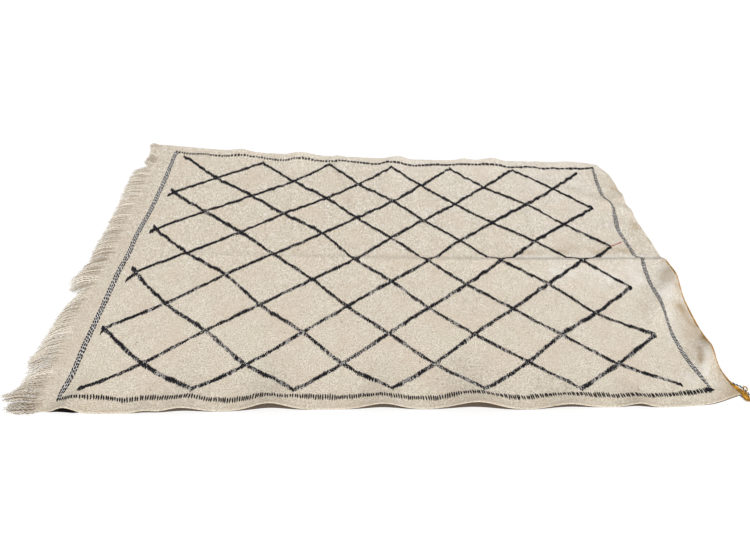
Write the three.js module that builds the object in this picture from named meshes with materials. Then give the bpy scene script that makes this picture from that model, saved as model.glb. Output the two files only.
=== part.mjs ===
// A hand-woven wool kilim, laid out on a flat surface with the slack of a rug just unfolded.
// Millimetres, +Z up. +X runs along the warps, from the fringed end to the gold end, and +Y runs
// along the wefts. The surface is z = 0, and the origin is the middle of the rug's footprint.
import * as THREE from "three";

// ---- Driving dimensions -------------------------------------------------------------------

const CLOTH_THICKNESS = 4; // a flat weave of heavy hand-spun wool
const GAP = 0.3; // between neighbouring pieces
const LENGTH_STEPS = 58; // cells of the cloth's mesh along X
const WIDTH_STEPS = 28; // and along Y, closer together at the edges and at the middle crease
const WIDTH_GRADING = 0.6; // 0 is an even spacing along Y
const FLAT_BELOW = 0.4; // lifts smaller than this lie flat on the surface

// Where the middle of the footprint lies from the point that the tables below measure from.
const FOOTPRINT_MIDDLE = { x: -19.45, y: -7.45 };

// The two long edges, as y at places along x: the rug is wider at its fringed end.
const NEAR_EDGE = [
  { x: -1180, y: -794 },
  { x: -1145, y: -808 },
  { x: -1040, y: -814 },
  { x: -880, y: -814 },
  { x: -550, y: -803 },
  { x: -240, y: -794 },
  { x: 120, y: -791 },
  { x: 390, y: -791 },
  { x: 670, y: -779 },
  { x: 880, y: -777 },
  { x: 1050, y: -762 },
  { x: 1170, y: -726 },
];
const FAR_EDGE = [
  { x: -1180, y: 799 },
  { x: -1050, y: 786 },
  { x: -900, y: 770 },
  { x: -550, y: 744 },
  { x: -60, y: 731 },
  { x: 240, y: 729 },
  { x: 660, y: 741 },
  { x: 1050, y: 744 },
  { x: 1115, y: 732 },
  { x: 1160, y: 695 },
];
// The two ends, as x at places along y.
const FRINGED_END = [
  { y: -815, x: -1145 },
  { y: -775, x: -1166 },
  { y: -640, x: -1169 },
  { y: -500, x: -1175 },
  { y: -280, x: -1170 },
  { y: 0, x: -1157 },
  { y: 400, x: -1158 },
  { y: 650, x: -1157 },
  { y: 800, x: -1166 },
];
const GOLD_END = [
  { y: -730, x: 1170 },
  { y: -690, x: 1162 },
  { y: -645, x: 1152 },
  { y: -600, x: 1146 },
  { y: -540, x: 1148 },
  { y: -420, x: 1160 },
  { y: -260, x: 1168 },
  { y: -90, x: 1180 },
  { y: 60, x: 1178 },
  { y: 250, x: 1167 },
  { y: 400, x: 1163 },
  { y: 560, x: 1168 },
  { y: 650, x: 1160 },
  { y: 715, x: 1132 },
];

// Ridges where the cloth lifts: each is highest at its first point and dies out at its second.
const RIDGES = [
  // along the near edge
  { fromX: -1060, fromY: -814, toX: -1010, toY: -610, halfWidth: 38, height: 30 },
  { fromX: -820, fromY: -813, toX: -800, toY: -670, halfWidth: 34, height: 13 },
  { fromX: -705, fromY: -809, toX: -700, toY: -570, halfWidth: 66, height: 27 },
  { fromX: -432, fromY: -799, toX: -450, toY: -540, halfWidth: 74, height: 42 },
  { fromX: -65, fromY: -793, toX: -55, toY: -550, halfWidth: 74, height: 33 },
  { fromX: 240, fromY: -791, toX: 225, toY: -510, halfWidth: 96, height: 45 },
  { fromX: 545, fromY: -784, toX: 535, toY: -590, halfWidth: 80, height: 26 },
  { fromX: 790, fromY: -778, toX: 780, toY: -650, halfWidth: 48, height: 24 },
  { fromX: 1130, fromY: -742, toX: 1010, toY: -640, halfWidth: 60, height: 6 },
  // along the far edge
  { fromX: -740, fromY: 760, toX: -730, toY: 600, halfWidth: 50, height: 15 },
  { fromX: -430, fromY: 742, toX: -440, toY: 560, halfWidth: 62, height: 18 },
  { fromX: 60, fromY: 731, toX: 40, toY: 380, halfWidth: 50, height: 17 },
  { fromX: 420, fromY: 733, toX: 410, toY: 540, halfWidth: 50, height: 12 },
  { fromX: 560, fromY: 738, toX: 590, toY: 520, halfWidth: 55, height: 17 },
  { fromX: 980, fromY: 745, toX: 950, toY: 600, halfWidth: 70, height: 6 },
  // at the gold end
  { fromX: 1180, fromY: 440, toX: 990, toY: 380, halfWidth: 36, height: 15 },
  { fromX: 1185, fromY: -145, toX: 860, toY: -550, halfWidth: 46, height: 25 },
  { fromX: 1155, fromY: -535, toX: 1000, toY: -730, halfWidth: 40, height: 27 },
  { fromX: 1080, fromY: 370, toX: 740, toY: 590, halfWidth: 32, height: 10 },
];

// Creases kept from folding. Each row is a crease's foot: to the right of its run the cloth steps
// up, over the width of the drop, and then eases down again, over a length of the order of ease.
const CREASES = [
  // the middle fold, along the rug
  { fromX: -1100, fromY: -33, toX: 67, toY: -38, height: 1, toHeight: 4, drop: 30, ease: 60 },
  { fromX: 133, fromY: -37, toX: 607, toY: -27, height: 5, toHeight: 11, drop: 32, ease: 70 },
  { fromX: 673, fromY: -25, toX: 1185, toY: -6, height: 11, toHeight: 14, drop: 34, ease: 80 },
  // and folds across it
  { fromX: -160, fromY: 120, toX: -272, toY: 740, height: 2, toHeight: 7, drop: 18, ease: 45 },
  { fromX: -30, fromY: 270, toX: -32, toY: 600, height: 1, toHeight: 3, drop: 18, ease: 45 },
  { fromX: -465, fromY: 80, toX: -465, toY: 480, height: 1.5, toHeight: 2.5, drop: 18, ease: 40 },
  { fromX: 400, fromY: 20, toX: 405, toY: 220, height: 2, toHeight: 1, drop: 16, ease: 35 },
  { fromX: 638, fromY: 90, toX: 655, toY: 370, height: 2.5, toHeight: 2, drop: 16, ease: 35 },
  { fromX: 695, fromY: -440, toX: 668, toY: -180, height: 2, toHeight: 1.5, drop: 16, ease: 35 },
];
const CREASE_RUN_OUT = 40; // how far a crease fades beyond its two points

// The fringe: warp ends in uneven locks, with their reach beyond the cloth at places along y.
const FRINGE_THICKNESS = 3;
const FRINGE_HEADING = 8; // the solid strip that the locks grow from
const FRINGE_LOCKS = 42;
const FRINGE_REACH = [
  { y: -815, reach: 92 },
  { y: -775, reach: 102 },
  { y: -730, reach: 84 },
  { y: -610, reach: 84 },
  { y: -460, reach: 72 },
  { y: -380, reach: 66 },
  { y: -315, reach: 42 },
  { y: -270, reach: 86 },
  { y: -170, reach: 80 },
  { y: -30, reach: 76 },
  { y: 130, reach: 84 },
  { y: 250, reach: 70 },
  { y: 450, reach: 84 },
  { y: 560, reach: 76 },
  { y: 605, reach: 34 },
  { y: 640, reach: 48 },
  { y: 740, reach: 46 },
  { y: 800, reach: 58 },
];
const LOCK_SWAY = 7; // how far a lock's tip leans along y
const LOCK_UNEVENNESS = 7; // and how much its reach differs from its neighbour's
const LOCK_SLIT = 10; // the slit between two locks near their tips, wider than they lean together
const LOCK_POINT = 0.25; // the share of a lock's reach that narrows to its tip
const LOCK_SHOULDER_SWAY = 0.6; // the share of the sway that a lock has where it starts to narrow

// The gold cord whipped onto the edge of the gold end.
const CORD_DIAMETER = 4.4;
const CORD_SIDES = 8;
const CORD_STEPS = 48;
const CORD_FROM_Y = 70;
const CORD_TO_Y = -660;
const EDGE_SEAT = 1.06; // radii from a tube's middle to its seat, where the cloth's edge slants

// The gold tassel and the black and white yarn end, both sewn to the corner of the gold end. Each
// starts at the cloth's edge and then lies on the surface, at a distance off that edge.
const TASSEL_ROUTE = [
  { y: -680, off: 0, radius: 3 },
  { y: -689, off: 3, radius: 6 },
  { y: -701, off: 7, radius: 8 },
  { y: -716, off: 9, radius: 9 },
  { y: -734, off: 9, radius: 8 },
  { y: -750, off: 12, radius: 4 },
];
const TASSEL_SIDES = 10;
const TASSEL_FLATNESS = 0.75; // height over width
const YARN_ROUTE = [
  { y: -668, off: -1.1, radius: 2.5 },
  { y: -673, off: 9, radius: 2.5 },
  { y: -681, off: 20, radius: 2.5 },
  { y: -692, off: 27, radius: 2.5 },
  { y: -706, off: 32, radius: 2.5 },
  { y: -721, off: 34, radius: 2.5 },
  { y: -735, off: 40, radius: 2.5 },
  { y: -746, off: 48, radius: 2.5 },
];
const YARN_SIDES = 8;

// ---- Shared shape functions ---------------------------------------------------------------

const { lerp, smoothstep } = THREE.MathUtils;

// The value of a table's column at a place, on a smooth curve through its rows.
function smoothTable(rows, at, value, place) {
  const last = rows.length - 1;
  const t = THREE.MathUtils.clamp(place, rows[0][at], rows[last][at]);
  let k = 0;
  while (k < last - 1 && rows[k + 1][at] < t) k += 1;
  const slope = (i) => {
    const a = rows[Math.max(i - 1, 0)];
    const b = rows[Math.min(i + 1, last)];
    return (b[value] - a[value]) / (b[at] - a[at]);
  };
  const span = rows[k + 1][at] - rows[k][at];
  const s = (t - rows[k][at]) / span;
  const s2 = s * s;
  const s3 = s2 * s;
  return (
    rows[k][value] * (2 * s3 - 3 * s2 + 1) +
    slope(k) * span * (s3 - 2 * s2 + s) +
    rows[k + 1][value] * (3 * s2 - 2 * s3) +
    slope(k + 1) * span * (s3 - s2)
  );
}

// Where a place lies beside a fold: how far along it, and how far off it to the right of its run.
function besideFold(fold, x, y) {
  const runX = fold.toX - fold.fromX;
  const runY = fold.toY - fold.fromY;
  const length = Math.hypot(runX, runY);
  const along = ((x - fold.fromX) * runX + (y - fold.fromY) * runY) / length;
  const off = ((x - fold.fromX) * runY - (y - fold.fromY) * runX) / length;
  return { along, off, length };
}

function ridgeLift(ridge, x, y) {
  const { along, off, length } = besideFold(ridge, x, y);
  const t = THREE.MathUtils.clamp(along / length, 0, 1);
  const spread = off / ridge.halfWidth;
  return ridge.height * (1 - t) ** 2 * Math.exp(-spread * spread);
}

function creaseLift(crease, x, y) {
  const { along, off, length } = besideFold(crease, x, y);
  const t = THREE.MathUtils.clamp(along / length, 0, 1);
  const beyond = Math.max(-along, along - length, 0) / CREASE_RUN_OUT;
  const height = lerp(crease.height, crease.toHeight, t) * Math.exp(-beyond * beyond);
  const eased = Math.exp(-Math.max(off - crease.drop, 0) / crease.ease);
  return height * smoothstep(off, 0, crease.drop) * eased;
}

// The height of the cloth's underside over the surface.
function clothLift(x, y) {
  let lift = 0;
  for (const ridge of RIDGES) lift += ridgeLift(ridge, x, y);
  for (const crease of CREASES) lift += creaseLift(crease, x, y);
  return Math.max(0, lift - FLAT_BELOW);
}

// A place on the laid cloth, for u from the fringed end and v from the near edge, both 0 to 1.
// The four edges are blended, so that the cloth's corners are where the tables' edges meet.
const fringedEnd = (y) => smoothTable(FRINGED_END, "y", "x", y);
const goldEnd = (y) => smoothTable(GOLD_END, "y", "x", y);
const nearEdge = (x) => smoothTable(NEAR_EDGE, "x", "y", x);
const farEdge = (x) => smoothTable(FAR_EDGE, "x", "y", x);

function clothPlace(u, v) {
  let x = lerp(FRINGED_END[4].x, GOLD_END[6].x, u);
  let y = 0;
  for (let pass = 0; pass < 4; pass += 1) {
    y = lerp(nearEdge(x), farEdge(x), v);
    x = lerp(fringedEnd(y), goldEnd(y), u);
  }
  return { x, y };
}

// The cloth's rows of mesh lie at these shares of its width.
function rowShare(even) {
  return even - (WIDTH_GRADING * Math.sin(4 * Math.PI * even)) / (4 * Math.PI);
}

// The corners of the cloth's mesh along one end, from the near edge to the far edge.
function endCorners(u) {
  const corners = [];
  for (let j = 0; j <= WIDTH_STEPS; j += 1) {
    const { x, y } = clothPlace(u, rowShare(j / WIDTH_STEPS));
    corners.push({ x, y, lift: clothLift(x, y) });
  }
  return corners;
}

// The place on a row of corners at y, on the straight line between two of them.
function onCorners(corners, y) {
  let k = 0;
  while (k < corners.length - 2 && corners[k + 1].y < y) k += 1;
  const a = corners[k];
  const b = corners[k + 1];
  const t = (y - a.y) / (b.y - a.y);
  return { x: lerp(a.x, b.x, t), y, lift: lerp(a.lift, b.lift, t) };
}

// ---- The pieces ---------------------------------------------------------------------------

const woolCream = { color: 0xdbd0be, roughness: 0.95, metalness: 0 };
const woolFringe = { color: 0xd6cdbd, roughness: 0.95, metalness: 0 };
const woolGold = { color: 0xc8922e, roughness: 0.85, metalness: 0 };
const woolBlack = { color: 0x2a2930, roughness: 0.9, metalness: 0 };

function piece(name, geometry, finish) {
  const mesh = new THREE.Mesh(geometry, new THREE.MeshStandardMaterial(finish));
  mesh.name = name;
  return mesh;
}

// The woven cloth with its folds: a thin box whose grid is laid on the folds.
function makeCloth() {
  const grid = new THREE.BoxGeometry(1, 1, 1, LENGTH_STEPS, WIDTH_STEPS, 1);
  const corners = grid.getAttribute("position");
  for (let i = 0; i < corners.count; i += 1) {
    const u = corners.getX(i) + 0.5;
    const { x, y } = clothPlace(u, rowShare(corners.getY(i) + 0.5));
    const top = corners.getZ(i) > 0 ? CLOTH_THICKNESS : 0;
    corners.setXYZ(i, x, y, clothLift(x, y) + top);
  }
  return piece("kilim_cloth", grid, woolCream);
}

// The fringe as one comb: a heading strip beside the cloth's end and a row of pointed locks.
function makeFringe() {
  const clothEnd = endCorners(0);
  const low = clothEnd[0].y;
  const high = clothEnd[WIDTH_STEPS].y;
  const lockWidth = (high - low) / FRINGE_LOCKS;
  const rootX = (y) => onCorners(clothEnd, y).x - GAP;
  const outline = new THREE.Shape();
  outline.moveTo(rootX(low), low);
  for (let j = 1; j <= WIDTH_STEPS; j += 1) outline.lineTo(rootX(clothEnd[j].y), clothEnd[j].y);
  for (let i = FRINGE_LOCKS - 1; i >= 0; i -= 1) {
    const start = low + (i + 1) * lockWidth;
    const end = low + i * lockWidth;
    const middle = (start + end) / 2;
    const uneven = LOCK_UNEVENNESS * Math.sin(2.4 * i);
    const reach = smoothTable(FRINGE_REACH, "y", "reach", middle) + uneven;
    const sway = LOCK_SWAY * Math.sin(1.7 * i + 0.6);
    const tipX = rootX(middle) - reach;
    const half = (lockWidth - LOCK_SLIT) / 2;
    outline.lineTo(rootX(start) - FRINGE_HEADING, start);
    outline.lineTo(tipX + reach * LOCK_POINT, middle + half + sway * LOCK_SHOULDER_SWAY);
    outline.lineTo(tipX, middle + sway);
    outline.lineTo(tipX + reach * LOCK_POINT, middle - half + sway * LOCK_SHOULDER_SWAY);
    if (i === 0) outline.lineTo(rootX(end) - FRINGE_HEADING, end);
  }
  const comb = new THREE.ExtrudeGeometry(outline, { depth: FRINGE_THICKNESS, bevelEnabled: false });
  const corners = comb.getAttribute("position");
  for (let i = 0; i < corners.count; i += 1) {
    const x = corners.getX(i);
    const y = corners.getY(i);
    const out = THREE.MathUtils.clamp((rootX(y) - x) / FRINGE_REACH[0].reach, 0, 1);
    const lift = onCorners(clothEnd, y).lift * (1 - out) ** 2;
    corners.setZ(i, corners.getZ(i) + lift);
  }
  return piece("warp_fringe", comb, woolFringe);
}

// A tube of given radii along a route, flattened in height.
function makeTube(route, sides, flatness) {
  const rings = route.map((stop, i) => {
    const before = route[Math.max(i - 1, 0)];
    const after = route[Math.min(i + 1, route.length - 1)];
    const run = new THREE.Vector3(after.x - before.x, after.y - before.y, after.z - before.z);
    const across = new THREE.Vector3(-run.y, run.x, 0).normalize();
    const up = new THREE.Vector3().crossVectors(run.normalize(), across);
    return { stop, across, up };
  });
  const points = [];
  for (const { stop, across, up } of rings) {
    for (let k = 0; k < sides; k += 1) {
      const turn = (2 * Math.PI * k) / sides;
      const side = across.clone().multiplyScalar(stop.radius * Math.cos(turn));
      const rise = up.clone().multiplyScalar(stop.radius * flatness * Math.sin(turn));
      points.push(stop.x + side.x + rise.x, stop.y + side.y + rise.y, stop.z + side.z + rise.z);
    }
  }
  const faces = [];
  for (let i = 0; i < route.length - 1; i += 1) {
    for (let k = 0; k < sides; k += 1) {
      const a = i * sides + k;
      const b = i * sides + ((k + 1) % sides);
      faces.push(a, b, b + sides, a, b + sides, a + sides);
    }
  }
  const lastRing = (route.length - 1) * sides;
  for (let k = 1; k < sides - 1; k += 1) {
    faces.push(0, k + 1, k);
    faces.push(lastRing, lastRing + k, lastRing + k + 1);
  }
  const tube = new THREE.BufferGeometry();
  tube.setAttribute("position", new THREE.Float32BufferAttribute(points, 3));
  tube.setIndex(faces);
  return tube;
}

// The whipped edge: a cord that follows the gold end up and down over its folds.
function makeEndCord() {
  const radius = CORD_DIAMETER / 2;
  const clothEnd = endCorners(1);
  const route = [];
  for (let i = 0; i <= CORD_STEPS; i += 1) {
    const edge = onCorners(clothEnd, lerp(CORD_FROM_Y, CORD_TO_Y, i / CORD_STEPS));
    const x = edge.x + GAP + radius * EDGE_SEAT;
    route.push({ x, y: edge.y, z: edge.lift + radius, radius });
  }
  return piece("end_cord", makeTube(route, CORD_SIDES, 1), woolGold);
}

// A route that starts at the cloth's edge and lies on the surface.
function laidRoute(rows, flatness) {
  const clothEnd = endCorners(1);
  return rows.map(({ y, off, radius }) => {
    const x = onCorners(clothEnd, y).x + GAP + radius * EDGE_SEAT + off;
    return { x, y, z: radius * flatness, radius };
  });
}

function makeTassel() {
  const route = laidRoute(TASSEL_ROUTE, TASSEL_FLATNESS);
  return piece("corner_tassel", makeTube(route, TASSEL_SIDES, TASSEL_FLATNESS), woolGold);
}

function makeYarnEnd() {
  return piece("corner_yarn", makeTube(laidRoute(YARN_ROUTE, 1), YARN_SIDES, 1), woolBlack);
}

const kilim = new THREE.Group();
kilim.add(makeCloth(), makeFringe(), makeEndCord(), makeTassel(), makeYarnEnd());
kilim.position.set(-FOOTPRINT_MIDDLE.x, -FOOTPRINT_MIDDLE.y, 0);

export default kilim;
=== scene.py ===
"""A hand-woven cream wool kilim, laid out on a flat surface with the slack of a rug just unfolded.

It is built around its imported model: a woven cloth with rippled edges and fold creases, a trellis
of diamonds and a border worked in black wool floats, a fringe of loose warp ends, and a gold
whipped edge that ends in a tassel. The tables hold millimetres, measured from the same point as
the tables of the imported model, and to_frame turns them into metres in its frame.
"""

import math

import bpy
import numpy as np
from mathutils import Matrix, Vector


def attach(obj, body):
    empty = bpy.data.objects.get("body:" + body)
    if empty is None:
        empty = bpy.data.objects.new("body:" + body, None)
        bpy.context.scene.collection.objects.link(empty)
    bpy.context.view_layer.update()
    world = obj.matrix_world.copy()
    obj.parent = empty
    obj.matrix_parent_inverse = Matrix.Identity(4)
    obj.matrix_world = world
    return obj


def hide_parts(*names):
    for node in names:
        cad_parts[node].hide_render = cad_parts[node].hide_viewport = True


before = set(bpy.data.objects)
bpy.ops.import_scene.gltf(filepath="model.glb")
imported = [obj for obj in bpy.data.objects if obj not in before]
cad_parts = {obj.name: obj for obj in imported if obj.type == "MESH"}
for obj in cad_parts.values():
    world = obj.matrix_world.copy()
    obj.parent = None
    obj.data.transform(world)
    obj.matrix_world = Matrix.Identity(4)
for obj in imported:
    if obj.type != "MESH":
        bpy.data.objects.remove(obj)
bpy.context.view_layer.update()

bl_info = {
    "name": "Cream wool kilim",
    "version": (1, 0, 0),
    "blender": (4, 5, 0),
    "location": "3D View > Sidebar > Kilim",
    "description": "Builds a flat-woven wool rug with a black trellis, a fringe and a gold edge",
    "category": "Object",
}

MM = 0.001
MIDDLE = np.array((-19.45, -7.45, 0.0))  # the footprint's middle, in the tables' own millimetres


# ---- Shape of the laid cloth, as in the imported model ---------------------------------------

NEAR_EDGE = [
    (-1180, -794), (-1145, -808), (-1040, -814), (-880, -814), (-550, -803), (-240, -794),
    (120, -791), (390, -791), (670, -779), (880, -777), (1050, -762), (1170, -726),
]
FAR_EDGE = [
    (-1180, 799), (-1050, 786), (-900, 770), (-550, 744), (-60, 731), (240, 729), (660, 741),
    (1050, 744), (1115, 732), (1160, 695),
]
FRINGED_END = [
    (-815, -1145), (-775, -1166), (-640, -1169), (-500, -1175), (-280, -1170), (0, -1157),
    (400, -1158), (650, -1157), (800, -1166),
]
GOLD_END = [
    (-730, 1170), (-690, 1162), (-645, 1152), (-600, 1146), (-540, 1148), (-420, 1160),
    (-260, 1168), (-90, 1180), (60, 1178), (250, 1167), (400, 1163), (560, 1168), (650, 1160),
    (715, 1132),
]

# Ridges: from x, y, where the ridge is highest, to x, y, where it dies out; half width; height.
RIDGES = [
    (-1060, -814, -1010, -610, 38, 30), (-820, -813, -800, -670, 34, 13),
    (-705, -809, -700, -570, 66, 27), (-432, -799, -450, -540, 74, 42),
    (-65, -793, -55, -550, 74, 33), (240, -791, 225, -510, 96, 45),
    (545, -784, 535, -590, 80, 26), (790, -778, 780, -650, 48, 24),
    (1130, -742, 1010, -640, 60, 6), (-740, 760, -730, 600, 50, 15),
    (-430, 742, -440, 560, 62, 18), (60, 731, 40, 380, 50, 17), (420, 733, 410, 540, 50, 12),
    (560, 738, 590, 520, 55, 17), (980, 745, 950, 600, 70, 6), (1180, 440, 990, 380, 36, 15),
    (1185, -145, 860, -550, 46, 25), (1155, -535, 1000, -730, 40, 27),
    (1080, 370, 740, 590, 32, 10),
]
# Creases: the foot's run, from x, y to x, y; the height of the step on its right at each end; the
# width of the drop; and the length over which the step eases down again.
CREASES = [
    (-1100, -33, 67, -38, 1, 4, 30, 60), (133, -37, 607, -27, 5, 11, 32, 70),
    (673, -25, 1185, -6, 11, 14, 34, 80), (-160, 120, -272, 740, 2, 7, 18, 45),
    (-30, 270, -32, 600, 1, 3, 18, 45), (-465, 80, -465, 480, 1.5, 2.5, 18, 40),
    (400, 20, 405, 220, 2, 1, 16, 35), (638, 90, 655, 370, 2.5, 2, 16, 35),
    (695, -440, 668, -180, 2, 1.5, 16, 35),
]
CREASE_RUN_OUT = 40
FLAT_BELOW = 0.4


def smooth_table(rows, place):
    """The second column of a table at places along its first, on a smooth curve through it."""
    at, value = np.array(rows, float).T
    last = len(at) - 1
    rank = np.arange(last + 1)
    before = np.maximum(rank - 1, 0)
    after = np.minimum(rank + 1, last)
    slope = (value[after] - value[before]) / (at[after] - at[before])
    t = np.clip(place, at[0], at[-1])
    k = np.clip(np.searchsorted(at, t) - 1, 0, last - 1)
    span = at[k + 1] - at[k]
    s = (t - at[k]) / span
    return (
        value[k] * (2 * s**3 - 3 * s**2 + 1)
        + slope[k] * span * (s**3 - 2 * s**2 + s)
        + value[k + 1] * (3 * s**2 - 2 * s**3)
        + slope[k + 1] * span * (s**3 - s**2)
    )


def lerp(a, b, t):
    return a + (b - a) * t


def smooth_step(low, high, value):
    t = np.clip((value - low) / (high - low), 0, 1)
    return t * t * (3 - 2 * t)


def beside_fold(fold, x, y):
    """How far along a fold places lie, how far off it to the right of its run, and its length."""
    from_x, from_y, to_x, to_y = fold[:4]
    run_x = to_x - from_x
    run_y = to_y - from_y
    length = math.hypot(run_x, run_y)
    along = ((x - from_x) * run_x + (y - from_y) * run_y) / length
    off = ((x - from_x) * run_y - (y - from_y) * run_x) / length
    return along, off, length


def ridge_lift(ridge, x, y):
    along, off, length = beside_fold(ridge, x, y)
    half_width, height = ridge[4:]
    t = np.clip(along / length, 0, 1)
    return height * (1 - t) ** 2 * np.exp(-((off / half_width) ** 2))


def crease_lift(crease, x, y):
    along, off, length = beside_fold(crease, x, y)
    height, to_height, drop, ease = crease[4:]
    t = np.clip(along / length, 0, 1)
    beyond = np.maximum(np.maximum(-along, along - length), 0) / CREASE_RUN_OUT
    step = lerp(height, to_height, t) * smooth_step(0, drop, off)
    return step * np.exp(-(beyond**2) - np.maximum(off - drop, 0) / ease)


def cloth_lift(x, y):
    """The height of the cloth's underside over the surface."""
    lift = sum(ridge_lift(ridge, x, y) for ridge in RIDGES)
    lift = lift + sum(crease_lift(crease, x, y) for crease in CREASES)
    return np.maximum(lift - FLAT_BELOW, 0)


def cloth_place(u, v):
    """Places on the laid cloth, for u from the fringed end and v from the near edge, 0 to 1."""
    x = lerp(FRINGED_END[4][1], GOLD_END[6][1], u)
    for _ in range(4):
        y = lerp(smooth_table(NEAR_EDGE, x), smooth_table(FAR_EDGE, x), v)
        x = lerp(smooth_table(FRINGED_END, y), smooth_table(GOLD_END, y), u)
    return x, y


def waves(x, y, seed, shortest, longest, count=28):
    """A smooth random unevenness from -1 to 1 or so, with wavelengths between two lengths."""
    rng = np.random.default_rng(seed)
    total = np.zeros(np.shape(x))
    for _ in range(count):
        length = math.exp(rng.uniform(math.log(shortest), math.log(longest)))
        turn, phase = rng.uniform(0, 2 * math.pi, 2)
        step = 2 * math.pi / length
        total += np.sin(step * (math.cos(turn) * x + math.sin(turn) * y) + phase)
    return total / math.sqrt(count)


def rumple(x, y):
    """How rumpled the cloth is, from 0 to 1: more towards the gold end and the far edge."""
    return smooth_step(-700, 1000, x + 0.9 * y)


def relief(x, y):
    """The cloth's slight unevenness on top, where it is rumpled."""
    lively = 0.3 + 0.9 * rumple(x, y)
    return lively * (0.8 * waves(x, y, 11, 60, 210) + 0.35 * waves(x, y, 12, 28, 60))


def cloth_top(x, y):
    """The height of the cloth's face over the surface."""
    thickness = bpy.context.scene.kilim_cloth.thickness / MM
    return cloth_lift(x, y) + thickness + relief(x, y)


def face_normals(x, y):
    """Unit vectors square to the cloth's face."""
    step = 3.0
    across = (cloth_top(x + step, y) - cloth_top(x - step, y)) / (2 * step)
    along = (cloth_top(x, y + step) - cloth_top(x, y - step)) / (2 * step)
    normal = np.stack([-across, -along, np.ones(np.shape(x))], -1)
    return normal / np.linalg.norm(normal, axis=-1, keepdims=True)


def to_frame(points):
    """Points of the tables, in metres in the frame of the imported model."""
    return (np.asarray(points, float) - MIDDLE) * MM


# ---- Shared tools --------------------------------------------------------------------------


def linear(hex_colour):
    """An sRGB hex colour as linear RGBA."""
    channels = [(hex_colour >> shift & 255) / 255 for shift in (16, 8, 0)]
    return (*[c / 12.92 if c <= 0.04045 else ((c + 0.055) / 1.055) ** 2.4 for c in channels], 1.0)


def add_node(tree, kind, inputs=None, out=0, **settings):
    """Adds a node with its settings, and with values or links on its inputs, and returns the
    output asked for."""
    node = tree.nodes.new(kind)
    for name, value in settings.items():
        setattr(node, name, value)
    for key, value in (inputs or {}).items():
        if isinstance(value, bpy.types.NodeSocket):
            tree.links.new(value, node.inputs[key])
        else:
            node.inputs[key].default_value = value
    return node.outputs[out] if node.outputs else None


def plain_mesh(name, points, edges=(), faces=(), attributes=None):
    """A mesh of points in metres, with a float or a vector for each point under each name."""
    mesh = bpy.data.meshes.new(name)
    chains = [tuple(edge) for edge in edges]
    mesh.from_pydata([tuple(p) for p in points], chains, [tuple(face) for face in faces])
    for key, values in (attributes or {}).items():
        values = np.asarray(values, np.float32)
        vector = values.ndim == 2
        layer = mesh.attributes.new(key, "FLOAT_VECTOR" if vector else "FLOAT", "POINT")
        layer.data.foreach_set("vector" if vector else "value", values.ravel())
    return mesh


def new_object(name, mesh, material=None):
    obj = bpy.data.objects.new(name, mesh)
    bpy.context.scene.collection.objects.link(obj)
    if material:
        mesh.materials.append(material)
    return obj


def grow(name, mesh, tree, inputs):
    """Runs a Geometry Nodes tree on a mesh, and leaves its result as a plain mesh object."""
    obj = new_object(name, mesh)
    modifier = obj.modifiers.new("Growth", "NODES")
    modifier.node_group = tree
    for socket in tree.interface.items_tree:
        if socket.in_out == "INPUT" and socket.name in inputs:
            modifier[socket.identifier] = inputs[socket.name]
    evaluated = obj.evaluated_get(bpy.context.evaluated_depsgraph_get())
    grown = bpy.data.meshes.new_from_object(evaluated)
    if not len(grown.polygons):
        raise RuntimeError(f"{name}: its tree grew nothing")
    obj.modifiers.remove(modifier)
    obj.data = grown
    grown.name = name
    bpy.data.meshes.remove(mesh)
    return obj


def finish_piece(obj, material_slot, *nodes):
    """Rides a finished piece on the rug, and hides the CAD nodes that it stands for."""
    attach(obj, "root")
    if nodes:
        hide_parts(*nodes)
    return obj


# ---- Geometry Nodes ------------------------------------------------------------------------


def new_tree(name, sockets):
    """A Geometry Nodes tree with named inputs, and the outputs of its group input node."""
    tree = bpy.data.node_groups.new(name, "GeometryNodeTree")
    for socket_name, kind in sockets.items():
        tree.interface.new_socket(socket_name, in_out="INPUT", socket_type=f"NodeSocket{kind}")
    tree.interface.new_socket("Geometry", in_out="OUTPUT", socket_type="NodeSocketGeometry")
    return tree, add_node(tree, "NodeGroupInput").node.outputs


def end_tree(tree, geometry, material):
    """Ends a tree in Realize Instances and Set Material."""
    smooth = add_node(tree, "GeometryNodeSetShadeSmooth", {"Geometry": geometry})
    real = add_node(tree, "GeometryNodeRealizeInstances", {"Geometry": smooth})
    dyed = add_node(tree, "GeometryNodeSetMaterial", {"Geometry": real, "Material": material})
    add_node(tree, "NodeGroupOutput", {"Geometry": dyed})
    return tree


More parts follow.
